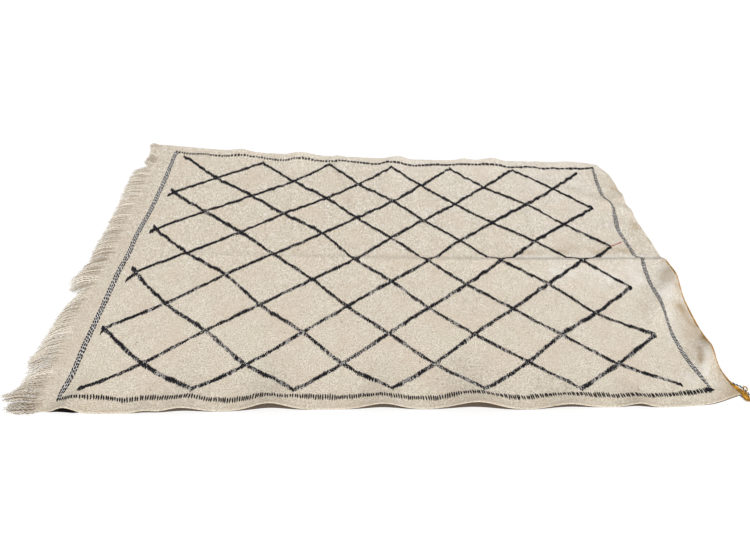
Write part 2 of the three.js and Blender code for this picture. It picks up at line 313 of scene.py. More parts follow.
def float_tree():
    """A float of yarn on each point: a short padded stretch that dips into the cloth at its ends.
    Each point has its run, its rise and its size: length, width and height."""
    sockets = {
        "Points": "Geometry", "Sides": "Int", "Steps": "Int", "Taper": "Float", "Wool": "Material",
    }
    tree, given = new_tree("Yarn floats", sockets)
    bow_ends = {"Start": (-0.5, 0, -0.45), "Middle": (0, 0, 0.75), "End": (0.5, 0, -0.45)}
    bow = add_node(
        tree, "GeometryNodeCurveQuadraticBezier", {"Resolution": given["Steps"], **bow_ends}
    )
    along = add_node(tree, "GeometryNodeSplineParameter", out="Factor")
    off_middle = add_node(tree, "ShaderNodeMath", {0: along, 1: 0.5}, operation="SUBTRACT")
    squared = add_node(tree, "ShaderNodeMath", {0: off_middle, 1: 2.0}, operation="POWER")
    narrowing = {"From Max": 0.25, "To Min": 1.0, "To Max": given["Taper"]}
    girth = add_node(tree, "ShaderNodeMapRange", {"Value": squared, **narrowing})
    section = add_node(
        tree, "GeometryNodeCurvePrimitiveCircle", {"Resolution": given["Sides"], "Radius": 0.5}
    )
    tube = {"Curve": bow, "Profile Curve": section, "Scale": girth, "Fill Caps": True}
    stitch = add_node(tree, "GeometryNodeCurveToMesh", tube)
    vector = {"data_type": "FLOAT_VECTOR", "out": "Attribute"}
    rise = add_node(tree, "GeometryNodeInputNamedAttribute", {"Name": "rise"}, **vector)
    run = add_node(tree, "GeometryNodeInputNamedAttribute", {"Name": "run"}, **vector)
    size = add_node(tree, "GeometryNodeInputNamedAttribute", {"Name": "size"}, **vector)
    upright = add_node(tree, "FunctionNodeAlignRotationToVector", {"Vector": rise}, axis="Z")
    turned = add_node(
        tree,
        "FunctionNodeAlignRotationToVector",
        {"Rotation": upright, "Vector": run},
        axis="X",
        pivot_axis="Z",
    )
    placing = {"Points": given["Points"], "Instance": stitch, "Rotation": turned, "Scale": size}
    placed = add_node(tree, "GeometryNodeInstanceOnPoints", placing)
    return end_tree(tree, placed, given["Wool"])


def yarn_tree():
    """A round yarn along each chain of edges. Each point has its thickness, and how loose it is,
    which is how far the crimp moves it."""
    sockets = {
        "Paths": "Geometry", "Sides": "Int", "Crimp": "Float", "Crimp length": "Float",
        "Seed": "Float", "Wool": "Material",
    }
    tree, given = new_tree("Yarns along paths", sockets)
    per_metre = add_node(
        tree, "ShaderNodeMath", {0: 1.0, 1: given["Crimp length"]}, operation="DIVIDE"
    )
    wander = add_node(
        tree,
        "ShaderNodeTexNoise",
        {"W": given["Seed"], "Scale": per_metre, "Detail": 1.0},
        out="Color",
        noise_dimensions="4D",
    )
    centred = add_node(
        tree, "ShaderNodeVectorMath", {0: wander, 1: (0.5, 0.5, 0.5)}, operation="SUBTRACT"
    )
    loose = add_node(tree, "GeometryNodeInputNamedAttribute", {"Name": "loose"}, out="Attribute")
    reach = add_node(tree, "ShaderNodeMath", {0: given["Crimp"], 1: loose}, operation="MULTIPLY")
    shift = add_node(tree, "ShaderNodeVectorMath", {0: centred, "Scale": reach}, operation="SCALE")
    crimped = add_node(
        tree, "GeometryNodeSetPosition", {"Geometry": given["Paths"], "Offset": shift}
    )
    curve = add_node(tree, "GeometryNodeMeshToCurve", {"Mesh": crimped})
    section = add_node(
        tree, "GeometryNodeCurvePrimitiveCircle", {"Resolution": given["Sides"], "Radius": 0.5}
    )
    thick = add_node(tree, "GeometryNodeInputNamedAttribute", {"Name": "thick"}, out="Attribute")
    tube = {"Curve": curve, "Profile Curve": section, "Scale": thick, "Fill Caps": True}
    yarn = add_node(tree, "GeometryNodeCurveToMesh", tube)
    return end_tree(tree, yarn, given["Wool"])


# ---- Materials -----------------------------------------------------------------------------

# A wave texture of this scale over a length repeats once in that length.
WAVE_SCALE = 0.314


def empty_material(name):
    """A node material with nothing in it yet, and its tree."""
    material = bpy.data.materials.new(name)
    material.use_nodes = True
    material.node_tree.nodes.clear()
    return material, material.node_tree


def new_material(name):
    """An empty node material, its tree and the Object coordinates."""
    material, tree = empty_material(name)
    return material, tree, add_node(tree, "ShaderNodeTexCoord", out="Object")


def end_material(tree, colour, height, bump_depth, roughness, sheen):
    """Ends a cloth or yarn material: matt, with the soft sheen of wool, and bumped by a height."""
    bump = add_node(
        tree, "ShaderNodeBump", {"Height": height, "Strength": 0.6, "Distance": bump_depth}
    )
    look = {"Base Color": colour, "Roughness": roughness, "Normal": bump}
    wool = {"Sheen Weight": sheen, "Sheen Roughness": 0.5, "Specular IOR Level": 0.2}
    shader = add_node(tree, "ShaderNodeBsdfPrincipled", {**look, **wool})
    add_node(tree, "ShaderNodeOutputMaterial", {"Surface": shader})


def patches(tree, where, size, low, high, detail=2.0):
    """Patches about that size, in metres: 0 below one level of noise, 1 above another."""
    noise = add_node(
        tree, "ShaderNodeTexNoise", {"Vector": where, "Scale": 1 / size, "Detail": detail}
    )
    return add_node(tree, "ShaderNodeMapRange", {"Value": noise, "From Min": low, "From Max": high})


def tinted(tree, colour, tint, share, *masks):
    """A colour that is tinted where all the masks are 1, by a share of the tint."""
    factor = share
    for mask in masks:
        factor = add_node(tree, "ShaderNodeMath", {0: mask, 1: factor}, operation="MULTIPLY")
    return add_node(tree, "ShaderNodeMix", {0: factor, 6: colour, 7: tint}, 2, data_type="RGBA")


def cream_weave(wools):
    """Undyed hand-spun wool in a weft-faced weave: warm cream, matt, ribbed along the warps, with
    specks of darker fleece. The ribs are drawn as they are, 4.2 mm apart, and the grain of the
    thick and thin yarn as coarse as 5 mm and, towards the far edge, 10 mm, so that it shows from
    across a room. The points carry its stains together with painted shade, painted shade in its
    folds, painted light, and how coarse the cloth is."""
    material, tree, where = new_material("Cream wool weave")
    # The points' first attribute is stains together with painted shade, the second painted shade,
    # the third painted light, and the fourth how coarse the grain is.
    wear_and_light = {
        name: add_node(tree, "ShaderNodeAttribute", out="Fac", attribute_name=name)
        for name in ("stain_and_shade", "painted_shade", "pale", "coarse")
    }
    grain = patches(tree, where, 0.0046, 0.37, 0.63, 3.0)
    colour = tinted(tree, tuple(wools.cream_dark), tuple(wools.cream_light), 1.0, grain)
    level = add_node(tree, "ShaderNodeMapping", {"Vector": where, "Scale": (2.3, 1.0, 1.0)})
    coarse = patches(tree, level, 0.0100, 0.47, 0.62)
    colour = tinted(tree, colour, linear(0xB0A28D), 0.64, coarse, wear_and_light["coarse"])
    bright = patches(tree, level, 0.0130, 0.52, 0.66)
    colour = tinted(tree, colour, linear(0xFAF6EE), 0.78, bright, wear_and_light["coarse"])
    for hex_colour, share, size, low, high in (
        (0xC9B9A0, 0.30, 0.034, 0.46, 0.70),
        (0xD8C4B0, 0.40, 0.150, 0.46, 0.66),
        (0xD9D6BC, 0.16, 0.190, 0.48, 0.68),
    ):
        blotches = patches(tree, where, size, low, high)
        colour = tinted(tree, colour, linear(hex_colour), share, blotches)
    stretched = add_node(tree, "ShaderNodeMapping", {"Vector": where, "Scale": (1.0, 3.0, 1.0)})
    slubs = patches(tree, stretched, 0.024, 0.54, 0.70)
    colour = tinted(tree, colour, linear(0xEFE6D6), 0.35, slubs)
    for spacing, size, share in ((0.015, 0.16, 0.24), (0.037, 0.10, 0.26)):
        cells = add_node(tree, "ShaderNodeTexVoronoi", {"Vector": where, "Scale": 1 / spacing})
        fading = {"From Min": size, "From Max": size * 1.5, "To Min": 1.0, "To Max": 0.0}
        fleck = add_node(tree, "ShaderNodeMapRange", {"Value": cells, **fading})
        sorting = {"Value": cells.node.outputs["Color"], "From Min": 1 - share}
        picked = add_node(tree, "ShaderNodeMapRange", {**sorting, "From Max": 1.04 - share})
        colour = tinted(tree, colour, linear(0x8A6A48), 0.42, fleck, picked)
    # Painted light lightens the cloth, stains and painted shade make it browner, and painted shade
    # darkens it.
    for name, hex_colour in (("pale", 0xF3EFE8), ("stain_and_shade", 0xAE946C), ("painted_shade", 0x8A7763)):
        colour = tinted(tree, colour, linear(hex_colour), 1.0, wear_and_light[name])
    ribs, picks = (
        add_node(
            tree,
            "ShaderNodeTexWave",
            {"Vector": where, "Scale": WAVE_SCALE / apart, "Distortion": uneven, "Detail": 1.0},
            out="Fac",
            bands_direction=axis,
        )
        for apart, uneven, axis in ((0.0042, 1.5, "Y"), (0.0026, 2.0, "X"))
    )
    weave = add_node(tree, "ShaderNodeMath", {0: ribs, 1: picks}, operation="ADD")
    height = add_node(tree, "ShaderNodeMath", {0: grain, 1: 1.2, 2: weave}, operation="MULTIPLY_ADD")
    end_material(tree, colour, height, 0.0007, 0.95, 0.05)
    return material


def fringe_wool(wools):
    """Loose warp ends of undyed wool: a little greyer than the cloth, finer and fuzzy. The points
    carry how light each yarn is, from a brown that is painted shade, darkest in the under layer
    and in some locks, to its whitish tip."""
    material, tree, where = new_material("Undyed wool warp")
    # Partly painted shade: dark for the yarns of the under layer.
    tone_and_shade = add_node(tree, "ShaderNodeAttribute", out="Fac", attribute_name="tone_and_shade")
    colour = tinted(tree, tuple(wools.warp_dark), tuple(wools.warp_light), 1.0, tone_and_shade)
    fuzz = patches(tree, where, 0.004, 0.35, 0.70)
    colour = tinted(tree, colour, linear(0xB3A58D), 0.30, fuzz)
    end_material(tree, colour, fuzz, 0.0006, 0.95, 0.08)
    return material


def black_wool(wools):
    """Black wool yarn with a faint blue cast, matt and hairy, with grey-white streaks where pale
    hairs are spun in. How many streaks there are goes by the point's marl."""
    material, tree, where = new_material("Black wool yarn")
    streaks = add_node(
        tree, "ShaderNodeTexNoise", {"Vector": where, "Scale": 1 / 0.0042, "Detail": 1.0}
    )
    marl = add_node(tree, "ShaderNodeAttribute", out="Fac", attribute_name="marl")
    level = add_node(tree, "ShaderNodeMapRange", {"Value": marl, "To Min": 0.80, "To Max": 0.46})
    above = add_node(tree, "ShaderNodeMath", {0: streaks, 1: level}, operation="SUBTRACT")
    pale = add_node(tree, "ShaderNodeMapRange", {"Value": above, "From Max": 0.03})
    colour = tinted(tree, tuple(wools.black), linear(0x24222A), 1.0, streaks)
    colour = tinted(tree, colour, linear(0xC2BDB8), 0.90, pale)
    end_material(tree, colour, streaks, 0.0005, 0.9, 0.02)
    return material


def gold_wool(wools):
    """Gold-dyed wool yarn: a warm ochre with a slight sheen, browner where the dye went deep."""
    material, tree, where = new_material("Gold-dyed wool")
    dye = patches(tree, where, 0.009, 0.35, 0.65)
    colour = tinted(tree, linear(0x8A5C1C), tuple(wools.gold), 1.0, dye)
    strands = add_node(
        tree,
        "ShaderNodeTexWave",
        {"Vector": where, "Scale": WAVE_SCALE / 0.0012, "Distortion": 3.0},
        out="Fac",
        bands_direction="DIAGONAL",
    )
    end_material(tree, colour, strands, 0.0003, 0.8, 0.15)
    return material


def pale_wool(wools):
    """Bleached wool yarn, nearly white, with faint grey hairs."""
    material, tree, where = new_material("Bleached wool yarn")
    hairs = patches(tree, where, 0.004, 0.35, 0.65)
    colour = tinted(tree, linear(0xC9C4BE), tuple(wools.bleached), 1.0, hairs)
    end_material(tree, colour, hairs, 0.0004, 0.9, 0.1)
    return material


def red_wool(wools):
    """A madder-red wool yarn, faded and matt."""
    material, tree, where = new_material("Red wool yarn")
    faded = patches(tree, where, 0.004, 0.35, 0.65)
    colour = tinted(tree, tuple(wools.red), linear(0xB8706A), 0.8, faded)
    end_material(tree, colour, faded, 0.0004, 0.9, 0.1)
    return material


# ---- The woven cloth -----------------------------------------------------------------------

# Stains, painted shade and painted light on the cloth, as strokes: half width, strength, and the
# points it runs through.
# Painted shade: dark lines in the folds and on the rumples, where they lie in shade.
PAINTED_FOLD_SHADE = [
    # the foot of the middle fold
    (9, 0.10, [(-1100, -35), (-600, -38), (-120, -42)]),
    (8, 0.18, [(-120, -40), (200, -38)]),
    (9, 0.16, [(200, -38), (560, -28)]),
    (14, 0.05, [(560, -24), (1185, -2)]),
    (32, 0.09, [(520, -64), (1130, -56)]),
    # folds across it
    (8, 0.22, [(-270, 690), (-250, 600), (-215, 500), (-190, 400)]),
    (8, 0.16, [(-190, 400), (-175, 250), (-165, 130)]),
    (8, 0.10, [(-30, 560), (-30, 300)]),
    (8, 0.12, [(-465, 500), (-465, 80)]),
    (8, 0.08, [(-715, 350), (-715, 150)]),
    (7, 0.10, [(400, 200), (400, 20)]),
    (7, 0.16, [(648, 340), (638, 110)]),
    (7, 0.10, [(690, -300), (692, -420)]),
    # the soft fold at the far corner of the gold end
    (22, 0.14, [(790, 580), (890, 520), (960, 480), (1040, 400)]),
    # rumples at the gold end
    (26, 0.06, [(1160, -150), (1080, -190), (1000, -260), (950, -350)]),
    (7, 0.26, [(1112, -526), (1102, -556), (1088, -588)]),
]
# Brown stains near the gold end, and painted shade beside the middle fold and on the rumples at the
# gold end.
STAINS_AND_SHADE = [
    (34, 0.16, [(780, 45), (900, 60), (1040, 40)]),
    (22, 0.12, [(380, 0), (620, 5), (760, 15)]),
    (30, 0.18, [(1130, -300), (1150, -400), (1100, -480), (1060, -550)]),
    (20, 0.62, [(1156, 600), (1146, 548), (1152, 515)]),
    (16, 0.30, [(1166, 480), (1164, 450)]),
    (22, 0.36, [(1152, 245), (1138, 192)]),
    (15, 0.45, [(1178, 120), (1174, 85)]),
    (14, 0.42, [(1110, 22), (1170, 14)]),
    (14, 0.26, [(560, 4), (900, 12), (1060, 22)]),
    (13, 0.40, [(1160, -205), (1162, -245)]),
    (28, 0.34, [(1172, -105), (1130, -150)]),
    (22, 0.52, [(1148, -485), (1172, -515)]),
    (18, 0.34, [(1160, -480), (1150, -560), (1152, -640), (1165, -700)]),
    (26, 0.20, [(1100, -735), (1160, -718)]),
    (18, 0.10, [(700, 30), (920, 34), (1150, 45)]),
    (10, 0.85, [(1112, -526), (1101, -558), (1088, -590)]),
    (11, 0.45, [(1140, -300), (1137, -380), (1150, -450), (1160, -500)]),
]
# Painted light: highlights on the rumples and folds, laid over places that lie in shade.
PAINTED_LIGHT = [
    (14, 0.14, [(672, 330), (678, -20), (680, -450)]),
    (20, 0.10, [(140, 180), (140, 40)]),
    (60, 0.30, [(700, -120), (840, -150), (980, -160)]),
    (40, 0.26, [(1020, -60), (1060, -140)]),
    (26, 0.30, [(1150, -230), (1080, -290), (1060, -400), (1050, -480)]),
    (24, 0.30, [(1130, -520), (1090, -600), (1020, -660)]),
    (40, 0.16, [(760, 520), (900, 440), (1000, 340)]),
    (50, 0.14, [(760, 600), (960, 560)]),
    (9, 0.40, [(520, -28), (900, -15), (1185, -3)]),
    (36, 0.30, [(1175, -130), (1140, -150), (1090, -170)]),
    (13, 0.45, [(1126, -556), (1106, -604), (1086, -640)]),
    (20, 0.55, [(1079, -243), (1117, -225), (1152, -204)]),
    (26, 0.35, [(1090, -58), (1150, -92)]),
]
FOLD_FOOT = [(-1100, -33), (100, -38), (640, -26), (1185, -6)]  # the middle fold's, y along x
FOLD_ROWS = (0.470, 0.510, 14)  # the shares of the width between which it has closer rows; count
FOLD_ROWS_CLEAR = 0.003


def graded_shares(length, edge_steps, spacing):
    """Shares of a length from 0 to 1: the given distances from both its ends, then even steps."""
    edges = np.array(edge_steps, float)
    count = round((length - 2 * edges[-1]) / spacing)
    inner = np.linspace(edges[-1], length - edges[-1], count + 1)
    return np.concatenate([edges[:-1], inner, (length - edges[:-1])[::-1]]) / length


def painted(strokes, x, y):
    """The sum of strokes, each of them soft across and at its ends."""
    total = np.zeros(np.shape(x))
    for half_width, strength, points in strokes:
        nearest = np.full(np.shape(x), np.inf)
        for (from_x, from_y), (to_x, to_y) in zip(points, points[1:]):
            along, off, length = beside_fold((from_x, from_y, to_x, to_y), x, y)
            past = np.maximum(np.maximum(-along, along - length), 0)
            nearest = np.minimum(nearest, np.hypot(off, past))
        total += strength * np.exp(-((nearest / half_width) ** 2))
    return total


def cloth_wear_and_light(x, y):
    """The stains, painted shade, painted light and coarseness of the cloth at places on it, each
    from 0 to 1.
    """
    to_gold = smooth_table(GOLD_END, y) - x
    to_near = y - smooth_table(NEAR_EDGE, x)
    to_fringe = x - smooth_table(FRINGED_END, y)
    patchy = np.clip(0.5 + 0.6 * waves(x, y, 21, 60, 240), 0, 1)
    blotchy = np.clip(0.75 + 0.5 * waves(x, y, 22, 50, 180), 0.2, 1.3)
    # Stains along the gold end; the brown along the near edge is painted shade, and the strokes are
    # stains and painted shade.
    stain_and_shade = 0.26 * patchy * np.exp(-((to_gold / 60) ** 2))
    stain_and_shade += 0.12 * np.exp(-((to_near / 50) ** 2))
    stain_and_shade += blotchy * painted(STAINS_AND_SHADE, x, y)
    # Painted shade: dark lines in the folds, and a darkening towards the fringed end.
    painted_shade = blotchy * painted(PAINTED_FOLD_SHADE, x, y) + 0.10 * np.exp(-((to_fringe / 60) ** 2))
    # Painted light: the strokes, and a lightening towards the far edge and the gold end.
    far_side = smooth_step(520, 700, y) * smooth_step(-300, 100, x)
    pale = blotchy * painted(PAINTED_LIGHT, x, y) + 0.10 * far_side + 0.12 * rumple(x, y) ** 2
    coarse = 0.2 + 0.8 * smooth_step(-700, 300, y) + 0.4 * smooth_step(960, 1060, x)
    wear_and_light = {"stain_and_shade": stain_and_shade, "painted_shade": painted_shade, "pale": pale, "coarse": coarse}
    return {name: np.clip(value, 0, 1) for name, value in wear_and_light.items()}


def make_cloth(settings, wools):
    """The woven cloth as one closed sheet, with a rounded rim and slightly fuller selvedges."""
    u = graded_shares(LONG_SIDE / MM, (0, 2, 5, 9, 15), settings.grid / MM)
    v = graded_shares(SHORT_SIDE / MM, (0, 2, 4.5, 8, 12, 17, 24), settings.grid / MM)
    closer = np.linspace(*FOLD_ROWS)
    kept = (v < closer[0] - FOLD_ROWS_CLEAR) | (v > closer[-1] + FOLD_ROWS_CLEAR)
    v = np.sort(np.concatenate([v[kept], closer]))
    x, y = cloth_place(*np.meshgrid(u, v, indexing="ij"))
    low = cloth_lift(x, y)
    top = cloth_top(x, y)
    to_selvedge = np.minimum(y - smooth_table(NEAR_EDGE, x), smooth_table(FAR_EDGE, x) - y)
    top += settings.selvedge / MM * np.exp(-(((to_selvedge - 4) / 4) ** 2))
    rows, columns = x.shape
    index = np.arange(rows * columns).reshape(rows, columns)
    quads = np.stack([index[:-1, :-1], index[1:, :-1], index[1:, 1:], index[:-1, 1:]], -1)
    quads = quads.reshape(-1, 4)
    rim = np.concatenate([index[:-1, 0], index[-1, :-1], index[:0:-1, -1], index[0, :0:-1]])
    flat_x, flat_y, flat_low, flat_top = (a.ravel() for a in (x, y, low, top))
    points = [np.stack([flat_x, flat_y, flat_top], -1), np.stack([flat_x, flat_y, flat_low], -1)]
    faces = [quads, quads[:, ::-1] + rows * columns]
    edge_x, edge_y = flat_x[rim], flat_y[rim]
    run_x = np.roll(edge_x, -1) - np.roll(edge_x, 1)
    run_y = np.roll(edge_y, -1) - np.roll(edge_y, 1)
    length = np.hypot(run_x, run_y)
    middle = (flat_low[rim] + flat_top[rim]) / 2
    half = (flat_top[rim] - flat_low[rim]) / 2
    loops = [rim]
    for turn in (50, 0, -50):
        out = settings.rim / MM * math.cos(math.radians(turn))
        rim_x = edge_x + out * run_y / length
        rim_y = edge_y - out * run_x / length
        height = middle + half * math.sin(math.radians(turn))
        loops.append(np.arange(len(rim)) + sum(len(p) for p in points))
        points.append(np.stack([rim_x, rim_y, height], -1))
    loops.append(rim + rows * columns)
    for upper, lower in zip(loops, loops[1:]):
        faces.append(np.stack([upper, lower, np.roll(lower, -1), np.roll(upper, -1)], -1))
    points = np.concatenate(points)
    wear_and_light_maps = cloth_wear_and_light(points[:, 0], points[:, 1])
    mesh = plain_mesh("cloth", to_frame(points), faces=np.concatenate(faces), attributes=wear_and_light_maps)
    mesh.shade_smooth()
    return new_object("woven_cloth", mesh, cream_weave(wools))


# ---- The stitched pattern ------------------------------------------------------------------

# The trellis is six diamonds long and five wide. These are the places of its points along the
# rug and across it, a point and a crossing in turn. A fitting program printed them and the drift
# below: they are neither chosen by hand nor worked out from driving dimensions.
TRELLIS_X = [-1019, -851, -660, -497, -315, -163, -4, 144, 300, 461, 637, 798, 979]
TRELLIS_Y = [-721, -610, -471, -343, -195, -59, 80, 214, 352, 493, 647]
# How the trellis drifts: the shares of up, of right times up, and of right times up squared, in x;
# and those of right, of right times up, and of right squared, in y.
DRIFT_X = (12.3, -1.5, 0.5)
DRIFT_Y = (-2.3, -2.3, 0.9)
# How far single points are off that setting, by column and row. It began as what the fit left
# over at each point, rounded to 5 mm, and about half of the rows were changed later.
POINT_SHIFTS = {
    (0, 0): (30, -5), (0, 1): (-5, 0), (0, 2): (0, 15), (0, 3): (-5, 5), (0, 4): (-5, 0),
    (0, 5): (-35, 15), (0.5, 0.5): (10, -10), (0.5, 3.5): (5, 5), (0.5, 4.5): (0, -10),
    (1, 0): (15, -5), (1, 1): (-10, 0), (1, 2): (-5, 15), (1, 3): (0, 5), (1, 5): (5, -15),
    (1.5, 0.5): (0, -10), (1.5, 1.5): (-5, 5), (1.5, 2.5): (0, 10), (1.5, 3.5): (5, 10),
    (1.5, 4.5): (15, -10), (2, 0): (-5, -5), (2, 1): (-10, 0), (2, 2): (-5, 0),
    (2, 3): (10, 15), (2, 4): (5, 5),
    (2.5, 0.5): (-10, 0), (2.5, 1.5): (-10, 5), (2.5, 2.5): (5, -10), (2.5, 4.5): (0, -10),
    (3, 1): (-10, 0), (3, 4): (10, 0), (3, 5): (0, -10), (3.5, 1.5): (-5, 5),
    (3.5, 2.5): (5, -10), (4, 0): (0, -10), (4, 2): (0, -10), (4, 3): (0, -5), (4, 4): (0, -5),
    (4, 5): (0, 10), (4.5, 0.5): (15, 10), (4.5, 1.5): (5, 5), (4.5, 3.5): (0, -5),
    (4.5, 4.5): (-5, 5), (5, 0): (-5, 0), (5, 1): (-10, 0), (5, 4): (10, 10), (5, 5): (-10, 20),
    (5.5, 1.5): (-10, -15), (5.5, 2.5): (15, 5), (5.5, 4.5): (10, 10), (6, 0): (10, 15),
    (6, 1): (5, 0), (6, 2): (0, -15), (6, 3): (-5, -25), (6, 4): (-10, -5), (6, 5): (-10, 15),
}
# Short stretches where the lines run on past their ends, or are caught off. Most of the places are
# a measuring program's, moved by a few millimetres.
TAILS = [
    [(-1000, 378), (-1022, 355)], [(-1000, 378), (-1018, 400)], [(-1014, 103), (-1034, 86)],
    [(-1014, 103), (-1028, 122)], [(-1020, -173), (-1046, -212)], [(-1020, -173), (-1044, -145)],
    [(-1050, -468), (-1056, -480)], [(-1052, -470), (-1060, -462)], [(-1046, -730), (-1037, -727)],
]
FOLD_STRIP = 12  # the width of the strip in which the middle fold hides cloth
FOLD_STRIP_OFF = 8  # how far the strip's middle lies from the fold's foot
FOLD_HIDES = 25  # how much of the width is hidden where the fold is deepest


def hidden_cloth(x):
    """How much of the cloth's width the middle fold hides."""
    return FOLD_HIDES * smooth_step(0, 500, x)


def strip_middle(x):
    return smooth_table(FOLD_FOOT, x) - FOLD_STRIP_OFF


def unfolded(x, y):
    """Places across the rug as they would be with the middle fold pulled flat."""
    return y + hidden_cloth(x) * np.clip((y - strip_middle(x)) / FOLD_STRIP, -0.5, 0.5)


def folded(x, y):
    """Places across the flat rug as they are with the middle fold in it."""
    hidden = hidden_cloth(x)
    return y - hidden * np.clip((y - strip_middle(x)) / (FOLD_STRIP + hidden), -0.5, 0.5)


def trellis_point(column, row):
    """The place of the trellis's point, for a column from 0 to 6 and a row from 0 to 5."""
    right = column - 3
    up = row - 2.5
    by_up, by_both, by_up_squared = DRIFT_X
    x = TRELLIS_X[round(2 * column)] + by_up * up + by_both * right * up
    x += by_up_squared * right * up**2
    by_right, by_both, by_right_squared = DRIFT_Y
    y = TRELLIS_Y[round(2 * row)] + by_right * right + by_both * right * up
    y += by_right_squared * right**2
    off_x, off_y = POINT_SHIFTS.get((column, row), (0, 0))
    return x + off_x, y + off_y


def trellis_lines(slope):
    """The trellis's lines that rise (slope 1) or fall (slope -1) along the rug, as points."""
    starts = [(0, row) for row in range(5)] + [(column, 0) for column in range(1, 6)]
    lines = []
    for column, row in starts:
        steps = round(2 * min(6 - column, 5 - row))
        line = []
        for k in range(steps + 1):
            height = row + k / 2
            line.append(trellis_point(column + k / 2, height if slope > 0 else 5 - height))
        lines.append(np.array(line, float))
    return lines


def line_course(line, x):
    """Where a trellis line runs, at places along the rug: smooth, but for the middle fold."""
    flat = np.column_stack([line[:, 0], unfolded(line[:, 0], line[:, 1])])
    return folded(x, smooth_table(flat, x))


def stitch_mesh(floats):
    """The points of floats, each an x, y, length, width, height, marl and slant."""
    floats = np.array(floats)
    x, y = floats[:, 0], floats[:, 1]
    sizes = floats[:, 2:5]
    slant = floats[:, 6]
    normal = face_normals(x, y)
    run = np.stack([slant, np.ones(len(x)), np.zeros(len(x))], -1)
    run -= normal * np.sum(run * normal, -1, keepdims=True)
    sunk = cloth_top(x, y) + 0.3 * sizes[:, 2]
    return plain_mesh(
        "floats",
        to_frame(np.stack([x, y, sunk], -1)),
        attributes={"rise": normal, "run": run, "size": sizes * MM, "marl": floats[:, 5]},
    )


def tail_course(tail, x):
    return np.interp(x, tail[:, 0], tail[:, 1])


def trellis_floats(slope, settings):
    """The floats of one direction of the trellis's lines, with the tails on the rising ones."""
    rng = np.random.default_rng(41 if slope > 0 else 42)
    pitch = settings.pitch / MM
    floats = []
    lines = [(line, line_course) for line in trellis_lines(slope)]
    if slope > 0:
        lines += [(np.array(sorted(tail), float), tail_course) for tail in TAILS]
    for line, course in lines:
        phase = rng.uniform(0, 1000)
        x = np.arange(line[0, 0], line[-1, 0] + 1, pitch)
        y = course(line, x)
        in_fold = np.abs(unfolded(x, y) - strip_middle(x)) < (FOLD_STRIP + hidden_cloth(x)) / 2
        in_fold &= hidden_cloth(x) > 1
        unsteady = np.interp(y, (-650, 600), (1.2, 4.0))
        drift = unsteady * waves(x, y + phase, 43, 28, 115)
        weight = 1 + 0.16 * waves(x + phase, y, 44, 25, 160)
        weight *= np.interp(y, (-650, 600), (1.0, settings.far_gain))
        weight *= np.where(in_fold, 0.5, 1.0) * np.where((x > 820) & (y < -600), 0.85, 1.0)
        marled = np.interp(y, (-700, -300, 200, 500), (0.66, 0.46, 0.10, 0.0))
        marl = np.clip(marled + 0.38 * waves(x, y + phase, 45, 30, 200), 0, 1)
        if course is tail_course:
            marl *= 0
            weight *= 1.25
        for k in range(len(x)):
            length = settings.length / MM * weight[k] * rng.uniform(0.85, 1.15)
            width = settings.width / MM * rng.uniform(0.88, 1.1)
            height = settings.height / MM * rng.uniform(0.85, 1.1)
            place = (x[k] + rng.uniform(-0.4, 0.4), y[k] + drift[k] + rng.uniform(-0.7, 0.7))
            specks = np.clip(marl[k] * rng.uniform(0.4, 1.6), 0, 1)
            floats.append((*place, length, width, height, specks, rng.normal(0.03, 0.07)))
    return floats


# The border: its long rows as y at places along x, its short rows as x at places along y. Most of
# all four tables is picked from what a measuring program printed, some of it with the places
# rounded, so it isn't worked out from the cloth's edges.
NEAR_ROW = [
    (-1100, -768), (-1050, -766), (-990, -757), (-950, -758), (-890, -766), (-820, -759),
    (-735, -762), (-690, -759), (-640, -764), (-500, -763), (-410, -761), (-340, -751),
    (-200, -749), (110, -752), (185, -745), (300, -745), (400, -747), (470, -742), (620, -735),
    (820, -736), (900, -730), (980, -722), (1070, -709),
]
FAR_ROW = [
    (-1070, 733), (-990, 717), (-950, 722), (-910, 716), (-830, 707), (-670, 709), (-590, 690),
    (-510, 682), (-470, 695), (-390, 691), (-310, 685), (-235, 688), (-150, 685), (-75, 675),
    (-35, 675), (5, 688), (45, 680), (125, 672), (205, 674), (250, 683), (365, 689), (445, 687),
    (490, 696), (560, 687), (640, 682), (720, 685), (760, 689), (840, 676), (890, 686),
    (920, 680), (1000, 683), (1040, 688), (1092, 697),
]
FRINGE_ROW = [
    (-768, -1100), (-660, -1091), (-560, -1093), (-360, -1091), (-160, -1089), (-60, -1082),
    (40, -1083), (140, -1078), (190, -1073), (290, -1069), (490, -1066), (590, -1068),
    (730, -1070),
]
GOLD_ROW = [
    (-710, 1076), (-660, 1062), (-610, 1053), (-560, 1047), (-460, 1045), (-410, 1049),
    (-310, 1060), (-160, 1065), (-110, 1070), (-60, 1077), (-20, 1085), (-10, 1066), (40, 1061),
    (140, 1055), (190, 1054), (240, 1065), (290, 1076), (340, 1085), (390, 1078), (440, 1067),
    (490, 1069), (590, 1079), (640, 1088), (690, 1094),
]
# The width and height of a float in the near row, in the far row and in the corner.
NEAR_SECTION = (5.3, 2.4)
FAR_SECTION = (4.2, 2.0)
CORNER_SECTION = (4.4, 2.2)
FAR_STEP = 3.8  # from float to float in a dash of the far row
# How wide the bands of short rows are, as a share of their setting, at places along y.
FRINGE_BAND = [(-768, 0.3), (-745, 0.8), (-710, 1.0), (500, 1.05), (730, 1.0)]
GOLD_BAND = [
    (-710, 0.4), (-660, 0.75), (-560, 0.85), (-460, 0.7), (-410, 0.5), (-360, 0.5), (-300, 0.7),
    (-100, 0.85), (100, 0.85), (250, 1.05), (330, 0.7), (390, 0.4), (450, 0.8), (600, 0.85),
    (690, 0.65),
]


